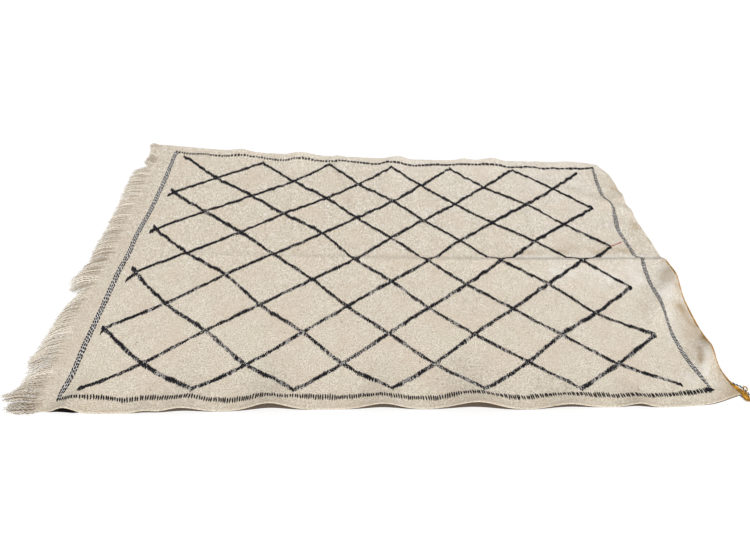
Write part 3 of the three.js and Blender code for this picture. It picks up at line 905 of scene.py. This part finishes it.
def near_row_floats(settings):
    """The near row: short upright floats side by side, uneven, with gaps and crowded stretches."""
    rng = np.random.default_rng(51)
    floats = []
    x = NEAR_ROW[0][0]
    while x < NEAR_ROW[-1][0]:
        here = np.array([x])
        open_weave = np.clip(0.5 - 0.6 * waves(here, here * 0, 52, 60, 300)[0], 0, 1)
        tall = 1 + 0.16 * waves(here, here * 0 + 50, 53, 60, 260)[0]
        tall *= np.interp(x, (-1100, -1060, -1000, 100, 400), (0.72, 0.92, 1.06, 1.0, 0.94))
        y = smooth_table(NEAR_ROW, x) + 1.4 * waves(here, here * 0 + 9, 54, 50, 200)[0]
        length = settings.near_length / MM * tall * rng.uniform(0.8, 1.15)
        lean = np.interp(x, (-900, -740), (-0.32, -0.04)) + rng.normal(0, 0.07)
        marl = rng.uniform(0.0, 0.12)
        floats.append((x, y + rng.uniform(-1.4, 1.4), length, *NEAR_SECTION, marl, lean))
        paired = np.interp(x, (150, 300), (0.3, 1.4)) * (1 if len(floats) % 2 else -1)
        x += rng.uniform(6.0, 8.6) + 0.8 * open_weave + paired
        x -= np.interp(x, (920, 1000), (0.0, 1.6))
    return floats


def far_row_floats(settings):
    """The far row: long floats side by side in dashes, with short gaps between the dashes."""
    rng = np.random.default_rng(61)
    floats = []
    x = FAR_ROW[0][0]
    while x < FAR_ROW[-1][0]:
        dash_end = x + rng.uniform(5, 10) * np.interp(x, (-300, -100, 1000), (1.0, 1.8, 2.6))
        tall = rng.uniform(0.82, 1.15)
        shift = rng.uniform(-2.5, 2.5)
        while x < dash_end:
            y = smooth_table(FAR_ROW, x) + shift + rng.uniform(-1, 1)
            length = settings.far_length / MM * tall * rng.uniform(0.92, 1.08)
            marl = rng.uniform(0, 0.25)
            floats.append((x, y, length, *FAR_SECTION, marl, rng.normal(0, 0.06)))
            x += FAR_STEP
        x += rng.uniform(1.5, 5.0) + np.interp(x, (-250, -150), (1.6, 0.0))
    return floats


def dashed_floats(seed, row, band, settings):
    """The dark and the pale floats of a short row: three lanes of dark dashes, with pale wool in
    their gaps and between them. They are worked finer than this, and are drawn as coarse as they
    have to be to show from across a room, coarser towards the far edge."""
    rng = np.random.default_rng(seed)
    dark, pale = [], []
    for lane in (-1, -0.5, 0, 0.5, 1):
        pale_lane = lane % 1 == 0.5
        y = row[0][0] + rng.uniform(0, 6)
        while y < row[-1][0]:
            coarser = np.interp(y, (-700, 700), (1.0, settings.dash_gain))
            pitch = settings.dash_pitch / MM * coarser * rng.uniform(0.75, 1.25)
            share = smooth_table(band, y)
            before, x, after = smooth_table(row, np.array([y - 6, y, y + 6]))
            lean = (after - before) / 12 + rng.normal(-0.14, 0.10)
            x += lane * settings.lane / MM * share + rng.uniform(-0.6, 0.6)
            width = settings.dash_width / MM * min(1, max(share, 0.5))
            if pale_lane:
                pale.append((x, y, 0.95 * pitch, 0.62 * width, 1.6, 0, lean))
            else:
                dark.append((x, y, 0.80 * pitch, 1.06 * width, 2.3, rng.uniform(0, 0.1), lean))
                pale.append((x, y + 0.5 * pitch, 0.26 * pitch, 0.8 * width, 1.6, 0, lean))
            y += pitch
    return dark, pale


def corner_floats():
    """The solid wedge where the near row meets the band at the gold end."""
    rng = np.random.default_rng(55)
    floats = []
    for k in range(10):
        x = 1055 + 3.2 * k
        length = 13 * min(1, (11 - k) / 6) * rng.uniform(0.85, 1.1)
        y = -709 + rng.uniform(-0.8, 0.8)
        floats.append((x, y, length, *CORNER_SECTION, 0.05, rng.normal(0.2, 0.1)))
    return floats


# ---- The fringe ----------------------------------------------------------------------------

# How far the warp ends reach beyond the cloth and how far their tips lean, at places across. Most
# rows of the reach are picked from what a measuring program printed.
FRINGE_REACH = [
    (-820, 76), (-812, 90), (-803, 98), (-790, 88), (-780, 86), (-765, 110), (-752, 112), (-740, 88),
    (-715, 73), (-685, 68), (-620, 82), (-570, 74), (-500, 67), (-420, 64), (-380, 56), (-320, 41),
    (-298, 30), (-280, 74), (-256, 82), (-212, 86), (-165, 78), (-95, 66), (-45, 74), (60, 70),
    (200, 71), (240, 67), (290, 72), (380, 76), (480, 81), (515, 74), (551, 78), (590, 30),
    (625, 46), (700, 41), (740, 42), (780, 53), (805, 50),
]
FRINGE_LEAN = [
    (-815, -2), (-798, -6), (-770, -2), (-730, -16), (-650, -40), (-500, -46), (-300, -44),
    (-100, -40), (100, -30), (300, -26), (500, -16), (570, 4), (640, 14), (740, 6), (800, 4),
]
# How high the loose ends heap up beyond the cloth, at places across.
FRINGE_PILE = [(-815, 8), (-700, 6), (-300, 4), (0, 3), (500, 3), (800, 5)]


def fringe_paths(settings, layer):
    """The warp ends of one layer as chains of points. They draw together in narrow locks with gaps
    between them, and wave in step, as they did in the weave that they are loose from."""
    rng = np.random.default_rng(91 + layer)
    s = np.linspace(0, 1, settings.steps)
    low = NEAR_EDGE[1][1] - 4
    high = FAR_EDGE[0][1] - 3
    locks = [low]
    while locks[-1] < high:
        locks.append(locks[-1] + rng.uniform(7, 15))
    middles = (np.array(locks[:-1]) + np.array(locks[1:])) / 2
    longer = rng.uniform(-0.08, 0.04, len(middles))
    swing = 5 * waves(middles, 0 * middles, 92 + layer, 40, 200) + rng.uniform(-3, 3, len(middles))
    beat = rng.uniform(10, 15, len(middles))
    start = np.cumsum(rng.normal(0, 0.7, len(middles)))
    sway = rng.uniform(1.6, 3.2, len(middles))
    clumped = 0.14 * waves(middles, 0 * middles, 95, 30, 160)
    clumped += np.interp(middles, (-780, -680), (0.12, 0.0))
    points, edges, thick, loose, tone_and_shade = [], [], [], [], []
    for k in range(settings.yarns):
        y0 = lerp(low, high, (k + rng.uniform(0.15, 0.85)) / settings.yarns)
        lock = np.clip(np.searchsorted(locks, y0) - 1, 0, len(middles) - 1)
        lean = smooth_table(FRINGE_LEAN, y0) + swing[lock] + rng.normal(0, 1.0)
        reach = smooth_table(FRINGE_REACH, y0 + lean) * (1 + longer[lock] + rng.normal(0, 0.04))
        reach *= 0.97 if layer else 0.93
        root = smooth_table(FRINGED_END, y0)
        inside = rng.uniform(2, 12) + 20 * layer * rng.uniform() ** 1.5
        run = (inside + reach) * s
        x = root + inside - run
        out = np.clip((run - inside) / reach, 0, 1)
        drawn = smooth_step(-10, 26, run - inside)
        sag = np.interp(y0, (-810, -770), (-11, 0)) * np.sin(math.pi * out)
        y = y0 + lean * out**1.3 + sag + 0.46 * (middles[lock] - y0) * drawn
        bend = 2 * math.pi * run / beat[lock] + start[lock] + rng.normal(0, 0.25)
        y = y + sway[lock] * np.sin(bend) * (0.25 + 0.75 * out**0.5)
        x = x + 0.5 * sway[lock] * np.cos(1.3 * bend) * out
        floor = settings.thickness / MM * (0.5 + 0.75 * layer)
        lift = smooth_table(FRINGE_PILE, y0) + rng.uniform(0, 1.6)
        hump = 1.0 + lift * np.sin(math.pi * out) ** 2
        face = cloth_top(x + 4, y) - 1.2 + 0.7 * layer * smooth_step(0, 12, run)
        z = lerp(face, floor + hump, smooth_step(0, 0.5, out))
        first = len(points)
        points.extend(np.stack([x, y, z], -1))
        edges.extend((first + k, first + k + 1) for k in range(settings.steps - 1))
        full = settings.thickness / MM * rng.uniform(0.85, 1.2)
        thick.extend(full * (1 - 0.6 * s**4) * MM)
        loose.extend(out)
        # Painted shade: the under layer's yarns are made dark and the upper layer's light, darker
        # still in some locks and towards the near corner; the tips are lighter.
        shade = np.clip(rng.normal(0.08 + 0.56 * layer, 0.18) - clumped[lock], 0, 1)
        tone_and_shade.extend(np.clip(shade + 0.35 * s**3, 0, 1))
    return plain_mesh(
        "warp ends",
        to_frame(points),
        edges=edges,
        attributes={"thick": thick, "loose": loose, "tone_and_shade": tone_and_shade},
    )


# ---- The gold edge, the tassel and the loose yarns -----------------------------------------

CORD_FROM_Y = -45
CORD_TO_Y = -680
CORD_RADIUS = 2.2
# The tassel's middle line, as y, distance off the cloth's edge, and radius.
TASSEL_ROUTE = [
    (-682, -3, 4), (-694, 0, 7), (-708, 4, 9), (-724, 8, 12), (-740, 11, 12), (-752, 13, 8),
]
# The tassel's loose loop, the yarn end's middle line and the short end's beside it, as y and
# distance off that edge.
LOOP_ROUTE = [
    (-716, 20), (-705, 27), (-696, 33), (-691, 40), (-695, 45), (-704, 41), (-713, 30),
]
YARN_ROUTE = [
    (-670, 0), (-677, 7), (-684, 16), (-691, 25), (-700, 29), (-711, 30), (-722, 33), (-734, 39),
    (-745, 45),
]
SHORT_END_ROUTE = [(-727, -4), (-732, 1), (-740, 8)]


def chain_mesh(chains, **attributes):
    """Chains of points in table millimetres, with a list of values for each attribute."""
    points = np.concatenate(chains)
    edges = []
    first = 0
    for chain in chains:
        edges.extend((first + k, first + k + 1) for k in range(len(chain) - 1))
        first += len(chain)
    values = {key: np.concatenate(value) for key, value in attributes.items()}
    return plain_mesh("yarns", to_frame(points), edges=edges, attributes=values)


def even_yarn(chain, thickness, marl=0.0):
    """One chain as a mesh for an even yarn that no crimp moves."""
    full = np.ones(len(chain))
    return chain_mesh([chain], thick=[thickness * full], loose=[0 * full], marl=[marl * full])


def wrap_turns(settings):
    """The whipping as one long winding over the cord and the cloth's last threads."""
    rng = np.random.default_rng(101)
    pitch = settings.wrap_pitch / MM
    count = round((CORD_FROM_Y - CORD_TO_Y) / pitch)
    per_turn = 9
    k = np.arange(count * per_turn)
    y = CORD_FROM_Y - k * pitch / per_turn + rng.normal(0, 0.15, len(k))
    turn = 2 * math.pi * k / per_turn
    edge = smooth_table(GOLD_END, y)
    middle_x = edge + 1.6
    middle_z = cloth_lift(edge, y) + CORD_RADIUS + 0.2
    slack = 1 + 0.1 * waves(edge, y, 102, 12, 60)
    x = middle_x + 3.1 * slack * np.cos(turn)
    z = np.maximum(middle_z + 2.6 * slack * np.sin(turn), 0.9)
    return np.stack([x, y, z], -1)


def tassel_strands(settings):
    """The tassel's yarns: bound at the cloth's corner, full at the middle, loose at the tips."""
    rng = np.random.default_rng(111)
    y_rows, off_rows, radius_rows = np.array(TASSEL_ROUTE, float).T
    top = y_rows[0]
    drop = top - y_rows[-1]
    s = np.linspace(0, 1, 14)
    chains = []
    for _ in range(settings.tassel_yarns):
        turn = rng.uniform(0, 2 * math.pi)
        out = math.sqrt(rng.uniform(0.02, 1))
        y = top - drop * s * rng.uniform(0.82, 1.06)
        place = np.clip((top - y) / drop, 0, 1)
        radius = np.interp(place, (top - y_rows) / drop, radius_rows) - 1.0
        middle = smooth_table(GOLD_END, y) + 3
        middle += np.interp(place, (top - y_rows) / drop, off_rows)
        twist = turn + 1.3 * s + 0.25 * np.sin(7 * s + turn)
        x = middle + radius * out * np.cos(twist) + rng.uniform(-3, 3) * s**3
        z = 0.8 * (radius + 1) + 0.75 * radius * out * np.sin(twist)
        z = z * (1 - 0.25 * s**2) + np.interp(s, (0, 0.35), (2.5, 0))
        chains.append(np.stack([x, y, np.maximum(z, 0.7)], -1))
    for turn in (0.5, 2.6, 4.7):
        chains.append(edge_route(LOOP_ROUTE, 2.6)[::2] + (math.cos(turn), math.sin(turn), 0))
    return chains


def edge_route(rows, height):
    """A route off the cloth's gold end that lies on the surface, smoothed to 36 points."""
    y_rows, off_rows = np.array(rows, float).T
    t = np.linspace(0, len(rows) - 1, 36)
    rank = list(range(len(rows)))
    y = smooth_table(list(zip(rank, y_rows)), t)
    off = smooth_table(list(zip(rank, off_rows)), t)
    return np.stack([smooth_table(GOLD_END, y) + 3 + off, y, np.full(len(t), float(height))], -1)


def two_ply(route, radius, turn_length):
    """Two plies laid round a route."""
    steps = np.linalg.norm(np.diff(route, axis=0), axis=1)
    along = np.concatenate([[0], np.cumsum(steps)])
    run = np.gradient(route, axis=0)
    across = np.stack([-run[:, 1], run[:, 0], np.zeros(len(run))], -1)
    across /= np.linalg.norm(across, axis=1, keepdims=True)
    plies = []
    for start in (0, math.pi):
        turn = (2 * math.pi * along / turn_length + start)[:, None]
        plies.append(route + radius * (np.cos(turn) * across + np.sin(turn) * (0, 0, 1)))
    return plies


def red_tail():
    """The red yarn end that is left at a point of the trellis, near places that a measuring
    program printed."""
    points = np.array([(974, 56), (992, 61), (1008, 68), (1024, 78), (1036, 86)], float)
    rank = np.arange(len(points))
    t = np.linspace(0, rank[-1], 17)
    x = smooth_table(list(zip(rank, points[:, 0])), t)
    y = smooth_table(list(zip(rank, points[:, 1])), t)
    return np.stack([x, y, cloth_top(x, y) + 0.9], -1)


# ---- Settings ------------------------------------------------------------------------------

LONG_SIDE = 2.33  # the cloth as woven, pulled flat
SHORT_SIDE = 1.55


def size_setting(name, description, default):
    """A length that may be changed, in metres."""
    return bpy.props.FloatProperty(
        name=name, description=description, default=default, min=0.0001, max=0.5, precision=5,
        unit="LENGTH",
    )


def count_setting(name, description, default):
    return bpy.props.IntProperty(name=name, description=description, default=default, min=2)


def colour_setting(name, description, hex_colour):
    return bpy.props.FloatVectorProperty(
        name=name, description=description, default=linear(hex_colour), size=4, min=0, max=1,
        subtype="COLOR",
    )


class KilimWoolSettings(bpy.types.PropertyGroup):
    cream_light: colour_setting("Cream, light", "The cloth's lighter threads", 0xF6EDDE)
    cream_dark: colour_setting("Cream, dark", "The cloth's darker threads", 0xC2B5A0)
    warp_light: colour_setting("Warp, light", "The fringe's lightest yarns", 0xF1E9DB)
    # The darkest warp colour is painted shade for the under layer of the fringe.
    warp_dark: colour_setting("Warp, dark", "The fringe's darkest yarns", 0x7F6B53)
    black: colour_setting("Black", "The yarn of the trellis and the border", 0x121116)
    bleached: colour_setting("Bleached", "The white yarn in the short borders", 0xF4F3F4)
    gold: colour_setting("Gold", "The whipping and the tassel", 0xE2A936)
    red: colour_setting("Red", "The loose end in the trellis", 0x8E2C2E)


class KilimClothSettings(bpy.types.PropertyGroup):
    thickness: size_setting("Thickness", "How thick the weave is", 0.004)
    grid: size_setting("Grid", "Spacing of the cloth's mesh", 0.0102)
    selvedge: size_setting("Selvedge", "How much fuller the long edges are", 0.0009)
    rim: size_setting("Rim", "How far the rounded rim stands out", 0.0014)


class KilimStitchSettings(bpy.types.PropertyGroup):
    length: size_setting("Length", "Length of a float in the trellis", 0.0158)
    far_gain: bpy.props.FloatProperty(
        name="Far gain", description="How much longer floats are at the far edge", default=1.35,
        min=0.5, max=3,
    )
    width: size_setting("Width", "Width of a float in the trellis", 0.0052)
    height: size_setting("Height", "Height of a float over the cloth", 0.0026)
    pitch: size_setting("Pitch", "Distance from one float to the next, along the rug", 0.0044)
    near_length: size_setting("Near row", "Length of a float in the near border", 0.0158)
    far_length: size_setting("Far row", "Length of a float in the far border", 0.0168)
    lane: size_setting("Lane", "Distance between the dark lanes of a short row", 0.0067)
    dash_pitch: size_setting("Dash pitch", "Distance from dash to dash in a lane", 0.0135)
    dash_gain: bpy.props.FloatProperty(
        name="Dash gain", description="How much coarser the dashes are at the far edge",
        default=1.6, min=0.5, max=3,
    )
    dash_width: size_setting("Dash width", "Width of a dash", 0.0050)


class KilimFringeSettings(bpy.types.PropertyGroup):
    yarns: count_setting("Yarns", "Warp ends in each of the two layers", 430)
    steps: count_setting("Steps", "Points along a warp end", 30)
    thickness: size_setting("Thickness", "How thick a warp end is", 0.0032)
    crimp: size_setting("Crimp", "How far a warp end wanders", 0.005)
    crimp_length: size_setting("Crimp length", "Distance from crimp to crimp", 0.012)


class KilimTrimSettings(bpy.types.PropertyGroup):
    wrap_pitch: size_setting("Wrap pitch", "Distance from turn to turn of the whipping", 0.0030)
    wrap_yarn: size_setting("Wrap yarn", "How thick the whipping yarn is", 0.0019)
    tassel_yarns: count_setting("Tassel yarns", "How many yarns the tassel has", 80)
    tassel_yarn: size_setting("Tassel yarn", "How thick a yarn of the tassel is", 0.0024)
    loose_ply: size_setting("Loose ply", "How thick a ply of the loose yarn is", 0.0032)
    red_yarn: size_setting("Red yarn", "How thick the red yarn is", 0.0036)


# ---- Operators -----------------------------------------------------------------------------

FRINGE_PIECES = ("fringe_under", "fringe_over")


class KILIM_OT_fringe(bpy.types.Operator):
    """Lays the loose warp ends at the fringed end"""

    bl_idname = "kilim.fringe"
    bl_label = "Fringe"

    def execute(self, context):
        settings = context.scene.kilim_fringe
        tree = yarn_tree()
        wool = fringe_wool(context.scene.kilim_wools)
        for layer, name in enumerate(FRINGE_PIECES):
            inputs = {"Sides": 4, "Crimp": settings.crimp, "Crimp length": settings.crimp_length}
            seeded = {**inputs, "Seed": 3.0 + layer, "Wool": wool}
            piece = grow(name, fringe_paths(settings, layer), tree, seeded)
            finish_piece(piece, "fringe_yarn", *(["warp_fringe"] if layer else []))
        return {"FINISHED"}


class KILIM_OT_stitches(bpy.types.Operator):
    """Works the trellis and the border into the cloth"""

    bl_idname = "kilim.stitches"
    bl_label = "Trellis and border"

    def execute(self, context):
        settings = context.scene.kilim_stitches
        wools = context.scene.kilim_wools
        tree = float_tree()
        black = black_wool(wools)
        bleached = pale_wool(wools)
        near = near_row_floats(settings) + corner_floats()
        fringe_end = dashed_floats(71, FRINGE_ROW, FRINGE_BAND, settings)
        gold_end = dashed_floats(81, GOLD_ROW, GOLD_BAND, settings)
        rows = {
            "trellis_rising": (trellis_floats(1, settings), black),
            "trellis_falling": (trellis_floats(-1, settings), black),
            "border_near": (near, black),
            "border_far": (far_row_floats(settings), black),
            "border_fringe_end": (fringe_end[0], black),
            "border_gold_end": (gold_end[0], black),
            "pale_fringe_end": (fringe_end[1], bleached),
            "pale_gold_end": (gold_end[1], bleached),
        }
        for name, (floats, wool) in rows.items():
            inputs = {"Sides": 5, "Steps": 4, "Taper": 0.45, "Wool": wool}
            slot = "black_wool" if wool is black else "fringe_yarn"
            finish_piece(grow(name, stitch_mesh(floats), tree, inputs), slot)
        return {"FINISHED"}


class KILIM_OT_cloth(bpy.types.Operator):
    """Weaves the cloth on its folds"""

    bl_idname = "kilim.cloth"
    bl_label = "Woven cloth"

    def execute(self, context):
        cloth = make_cloth(context.scene.kilim_cloth, context.scene.kilim_wools)
        finish_piece(cloth, "cream_wool_weave", "kilim_cloth")
        return {"FINISHED"}


class KILIM_OT_gold_trim(bpy.types.Operator):
    """Whips the edge in gold and ties the tassel"""

    bl_idname = "kilim.gold_trim"
    bl_label = "Gold edge and tassel"

    def execute(self, context):
        settings = context.scene.kilim_trim
        tree = yarn_tree()
        wool = gold_wool(context.scene.kilim_wools)
        inputs = {"Sides": 5, "Crimp": 0.0, "Crimp length": 0.01, "Seed": 1.0, "Wool": wool}
        winding = even_yarn(wrap_turns(settings), settings.wrap_yarn)
        finish_piece(grow("gold_whipping", winding, tree, inputs), "gold_wool", "end_cord")
        strands = tassel_strands(settings)
        share = [np.linspace(0, 1, len(strand)) for strand in strands]
        thick = [settings.tassel_yarn * (1 - 0.3 * s**3) for s in share]
        skein = chain_mesh(strands, thick=thick, loose=share)
        tassel = grow("corner_tassel_yarns", skein, tree, {**inputs, "Crimp": 0.005})
        finish_piece(tassel, "gold_wool", "corner_tassel")
        return {"FINISHED"}


class KILIM_OT_yarn_ends(bpy.types.Operator):
    """Lays the loose black and white yarn at the corner and the red end in the trellis"""

    bl_idname = "kilim.yarn_ends"
    bl_label = "Loose yarn ends"

    def execute(self, context):
        settings = context.scene.kilim_trim
        wools = context.scene.kilim_wools
        tree = yarn_tree()
        black = black_wool(wools)
        bleached = pale_wool(wools)
        inputs = {"Sides": 7, "Crimp": 0.0, "Crimp length": 0.01, "Seed": 1.0}
        ply = settings.loose_ply
        dark, pale = two_ply(edge_route(YARN_ROUTE, 2.5), ply / MM / 2, 11)
        short = edge_route(SHORT_END_ROUTE, 1.3)
        for name, chain, wool, slot, nodes in (
            ("corner_yarn_black", dark, black, "black_wool", ["corner_yarn"]),
            ("corner_yarn_pale", pale, bleached, "fringe_yarn", []),
            ("corner_yarn_short", short, black, "black_wool", []),
        ):
            thick = ply * (0.5 if wool is bleached else 1)
            end = grow(name, even_yarn(chain, thick, 0.1), tree, {**inputs, "Wool": wool})
            finish_piece(end, slot, *nodes)
        tail = even_yarn(red_tail(), settings.red_yarn)
        red = grow("red_yarn_end", tail, tree, {**inputs, "Wool": red_wool(wools)})
        finish_piece(red, "black_wool")
        return {"FINISHED"}


class KILIM_OT_stage(bpy.types.Operator):
    """Sets the floor, the light and the camera"""

    bl_idname = "kilim.stage"
    bl_label = "Stage"

    def execute(self, context):
        lay_floor()
        light_scene(context.scene)
        place_camera(context.scene)
        context.scene.view_settings.view_transform = "Standard"
        return {"FINISHED"}


# ---- Stage ---------------------------------------------------------------------------------

FLOOR_HALF = 12  # metres
FLOOR_TOP = -0.0004  # metres, just under the rug
UNDER_TOP = -0.2
LAMP_POWER = 2.7
LAMP_SPREAD = 50  # degrees
LAMP_FROM = (0.2, -0.9, 0.8)
WORLD_LIGHT = 0.48
LENS = 27.02  # for a sensor 36 mm wide
CAMERA_STAND = (-198.2, -1823.5, 1565)
CAMERA_TURN = (4.2313, 43.2467, 4.0)  # degrees: to the right, down, and rolled
# How far the deep shadow shows beyond the near edge, at places along it.
SHADOW_REACH = [
    (-1180, 0), (-1096, 0), (-1076, 3), (-1055, 5), (-1038, 4), (-1022, -1), (-1004, -8),
    (-985, -5), (-950, 0), (980, 0), (1060, 3), (1170, 3),
]


def under_mesh():
    """The floor under the rug as a flat sheet of painted shadow, of about the cloth's outline. It
    falls short of the long edges where those are lifted."""
    share = np.linspace(0, 1, 240)
    near_x, near_y = cloth_place(share, np.zeros(240))
    reach = smooth_table(SHADOW_REACH, near_x)
    near = (near_x, near_y + 0.25 * cloth_lift(near_x, near_y) - reach)
    gold = cloth_place(np.ones(240), share)
    far_x, far_y = cloth_place(share[::-1], np.ones(240))
    far = (far_x, far_y - 6 - 1.5 * cloth_lift(far_x, far_y))
    fringed = cloth_place(np.zeros(240), share[::-1])
    outline = np.concatenate([np.stack(side, -1)[:-1] for side in (near, gold, far, fringed)])
    points = to_frame(np.column_stack([outline, np.full(len(outline), UNDER_TOP)]))
    return plain_mesh("painted shadow under rug", points, faces=[tuple(range(len(points)))])


def painted_shadow_floor():
    """Painted shadow for the floor under the rug: brown, and nearly black at the near corner of the
    fringed end, in place of the rug's own shadow."""
    material, tree, where = new_material("Painted shadow floor")
    # Painted shadow: brown, turning nearly black towards the near corner of the fringed end.
    along = add_node(tree, "ShaderNodeSeparateXYZ", {0: where}, out="X")
    corner = add_node(tree, "ShaderNodeMapRange", {0: along, 1: -0.98, 2: -1.02})
    colour = tinted(tree, linear(0x706459), linear(0x1C1815), 1.0, corner)
    painted_shadow = add_node(tree, "ShaderNodeBsdfDiffuse", {"Color": colour})
    add_node(tree, "ShaderNodeOutputMaterial", {"Surface": painted_shadow})
    return material


def white_floor():
    """A matt white floor that stays white to the eye, and keeps the rug's shadow."""
    material, tree = empty_material("Matt white floor")
    paint = add_node(tree, "ShaderNodeBsdfDiffuse", {"Color": linear(0xCCCCCC)})
    seen = add_node(tree, "ShaderNodeLightPath", out="Is Camera Ray")
    strength = add_node(tree, "ShaderNodeMath", {0: seen, 1: 0.42}, operation="MULTIPLY")
    glow = add_node(tree, "ShaderNodeEmission", {"Strength": strength})
    total = add_node(tree, "ShaderNodeAddShader", {0: paint, 1: glow})
    add_node(tree, "ShaderNodeOutputMaterial", {"Surface": total})
    return material


def lay_floor():
    signs = ((-1, -1), (1, -1), (1, 1), (-1, 1))
    corners = [(FLOOR_HALF * x, FLOOR_HALF * y, FLOOR_TOP) for x, y in signs]
    floor_mesh = plain_mesh("floor", corners, faces=[(0, 1, 2, 3)])
    new_object("floor", floor_mesh, white_floor())
    # A sheet of painted shadow lies on the floor under the rug.
    new_object("painted_shadow_under_rug", under_mesh(), painted_shadow_floor())


def light_scene(scene):
    """Soft light from all round, and a broad window behind the camera and low enough to show the
    cloth's relief."""
    world = bpy.data.worlds.new("Studio")
    world.use_nodes = True
    tree = world.node_tree
    tree.nodes.clear()
    soft = add_node(tree, "ShaderNodeBackground", {"Color": (1, 1, 1, 1), "Strength": WORLD_LIGHT})
    white = add_node(tree, "ShaderNodeBackground", {"Color": (1, 1, 1, 1), "Strength": 1.0})
    seen = add_node(tree, "ShaderNodeLightPath", out="Is Camera Ray")
    both = add_node(tree, "ShaderNodeMixShader", {0: seen, 1: soft, 2: white})
    add_node(tree, "ShaderNodeOutputWorld", {"Surface": both})
    scene.world = world
    lamp = bpy.data.lights.new("Window light", "SUN")
    lamp.energy = LAMP_POWER
    lamp.angle = math.radians(LAMP_SPREAD)
    sun = bpy.data.objects.new("window_light", lamp)
    sun.rotation_euler = Vector(LAMP_FROM).to_track_quat("Z", "Y").to_euler()
    scene.collection.objects.link(sun)


def place_camera(scene):
    lens = bpy.data.cameras.new("Camera")
    lens.lens = LENS
    lens.sensor_width = 36.0
    lens.clip_end = 60
    camera = bpy.data.objects.new("camera", lens)
    yaw, pitch, roll = (math.radians(angle) for angle in CAMERA_TURN)
    level = Vector((math.cos(yaw), -math.sin(yaw), 0))
    ahead = Vector((math.sin(yaw), math.cos(yaw), 0))
    forward = math.cos(pitch) * ahead - math.sin(pitch) * Vector((0, 0, 1))
    down = forward.cross(level)
    right = math.cos(roll) * level - math.sin(roll) * down
    below = math.sin(roll) * level + math.cos(roll) * down
    turn = Matrix((right, -below, -forward)).transposed()
    stand = Matrix.Translation(Vector(to_frame(CAMERA_STAND)))
    camera.matrix_world = stand @ turn.to_4x4()
    scene.collection.objects.link(camera)
    scene.camera = camera


# ---- Add-on --------------------------------------------------------------------------------

SETTINGS = {
    "kilim_wools": KilimWoolSettings, "kilim_cloth": KilimClothSettings,
    "kilim_stitches": KilimStitchSettings, "kilim_fringe": KilimFringeSettings,
    "kilim_trim": KilimTrimSettings,
}
OPERATORS = (
    KILIM_OT_fringe, KILIM_OT_cloth, KILIM_OT_stitches, KILIM_OT_gold_trim, KILIM_OT_yarn_ends,
    KILIM_OT_stage,
)


class KILIM_PT_parts(bpy.types.Panel):
    """The rug's sizes and colours, and the pieces that they make"""

    bl_label = "Kilim"
    bl_idname = "KILIM_PT_parts"
    bl_space_type = "VIEW_3D"
    bl_region_type = "UI"
    bl_category = "Kilim"

    def draw(self, context):
        for group_name, group in SETTINGS.items():
            box = self.layout.box()
            for setting in group.__annotations__:
                box.prop(getattr(context.scene, group_name), setting)
        for operator in OPERATORS:
            self.layout.operator(operator.bl_idname)


CLASSES = (*SETTINGS.values(), *OPERATORS, KILIM_PT_parts)


def register():
    for cls in CLASSES:
        bpy.utils.register_class(cls)
    for name, group in SETTINGS.items():
        setattr(bpy.types.Scene, name, bpy.props.PointerProperty(type=group))


def unregister():
    for name in SETTINGS:
        delattr(bpy.types.Scene, name)
    for cls in reversed(CLASSES):
        bpy.utils.unregister_class(cls)


def main():
    register()
    kilim = bpy.ops.kilim
    kilim.fringe()
    kilim.cloth()
    kilim.stitches()
    kilim.gold_trim()
    kilim.yarn_ends()
    kilim.stage()
    bpy.context.view_layer.update()


if __name__ == "__main__":
    main()
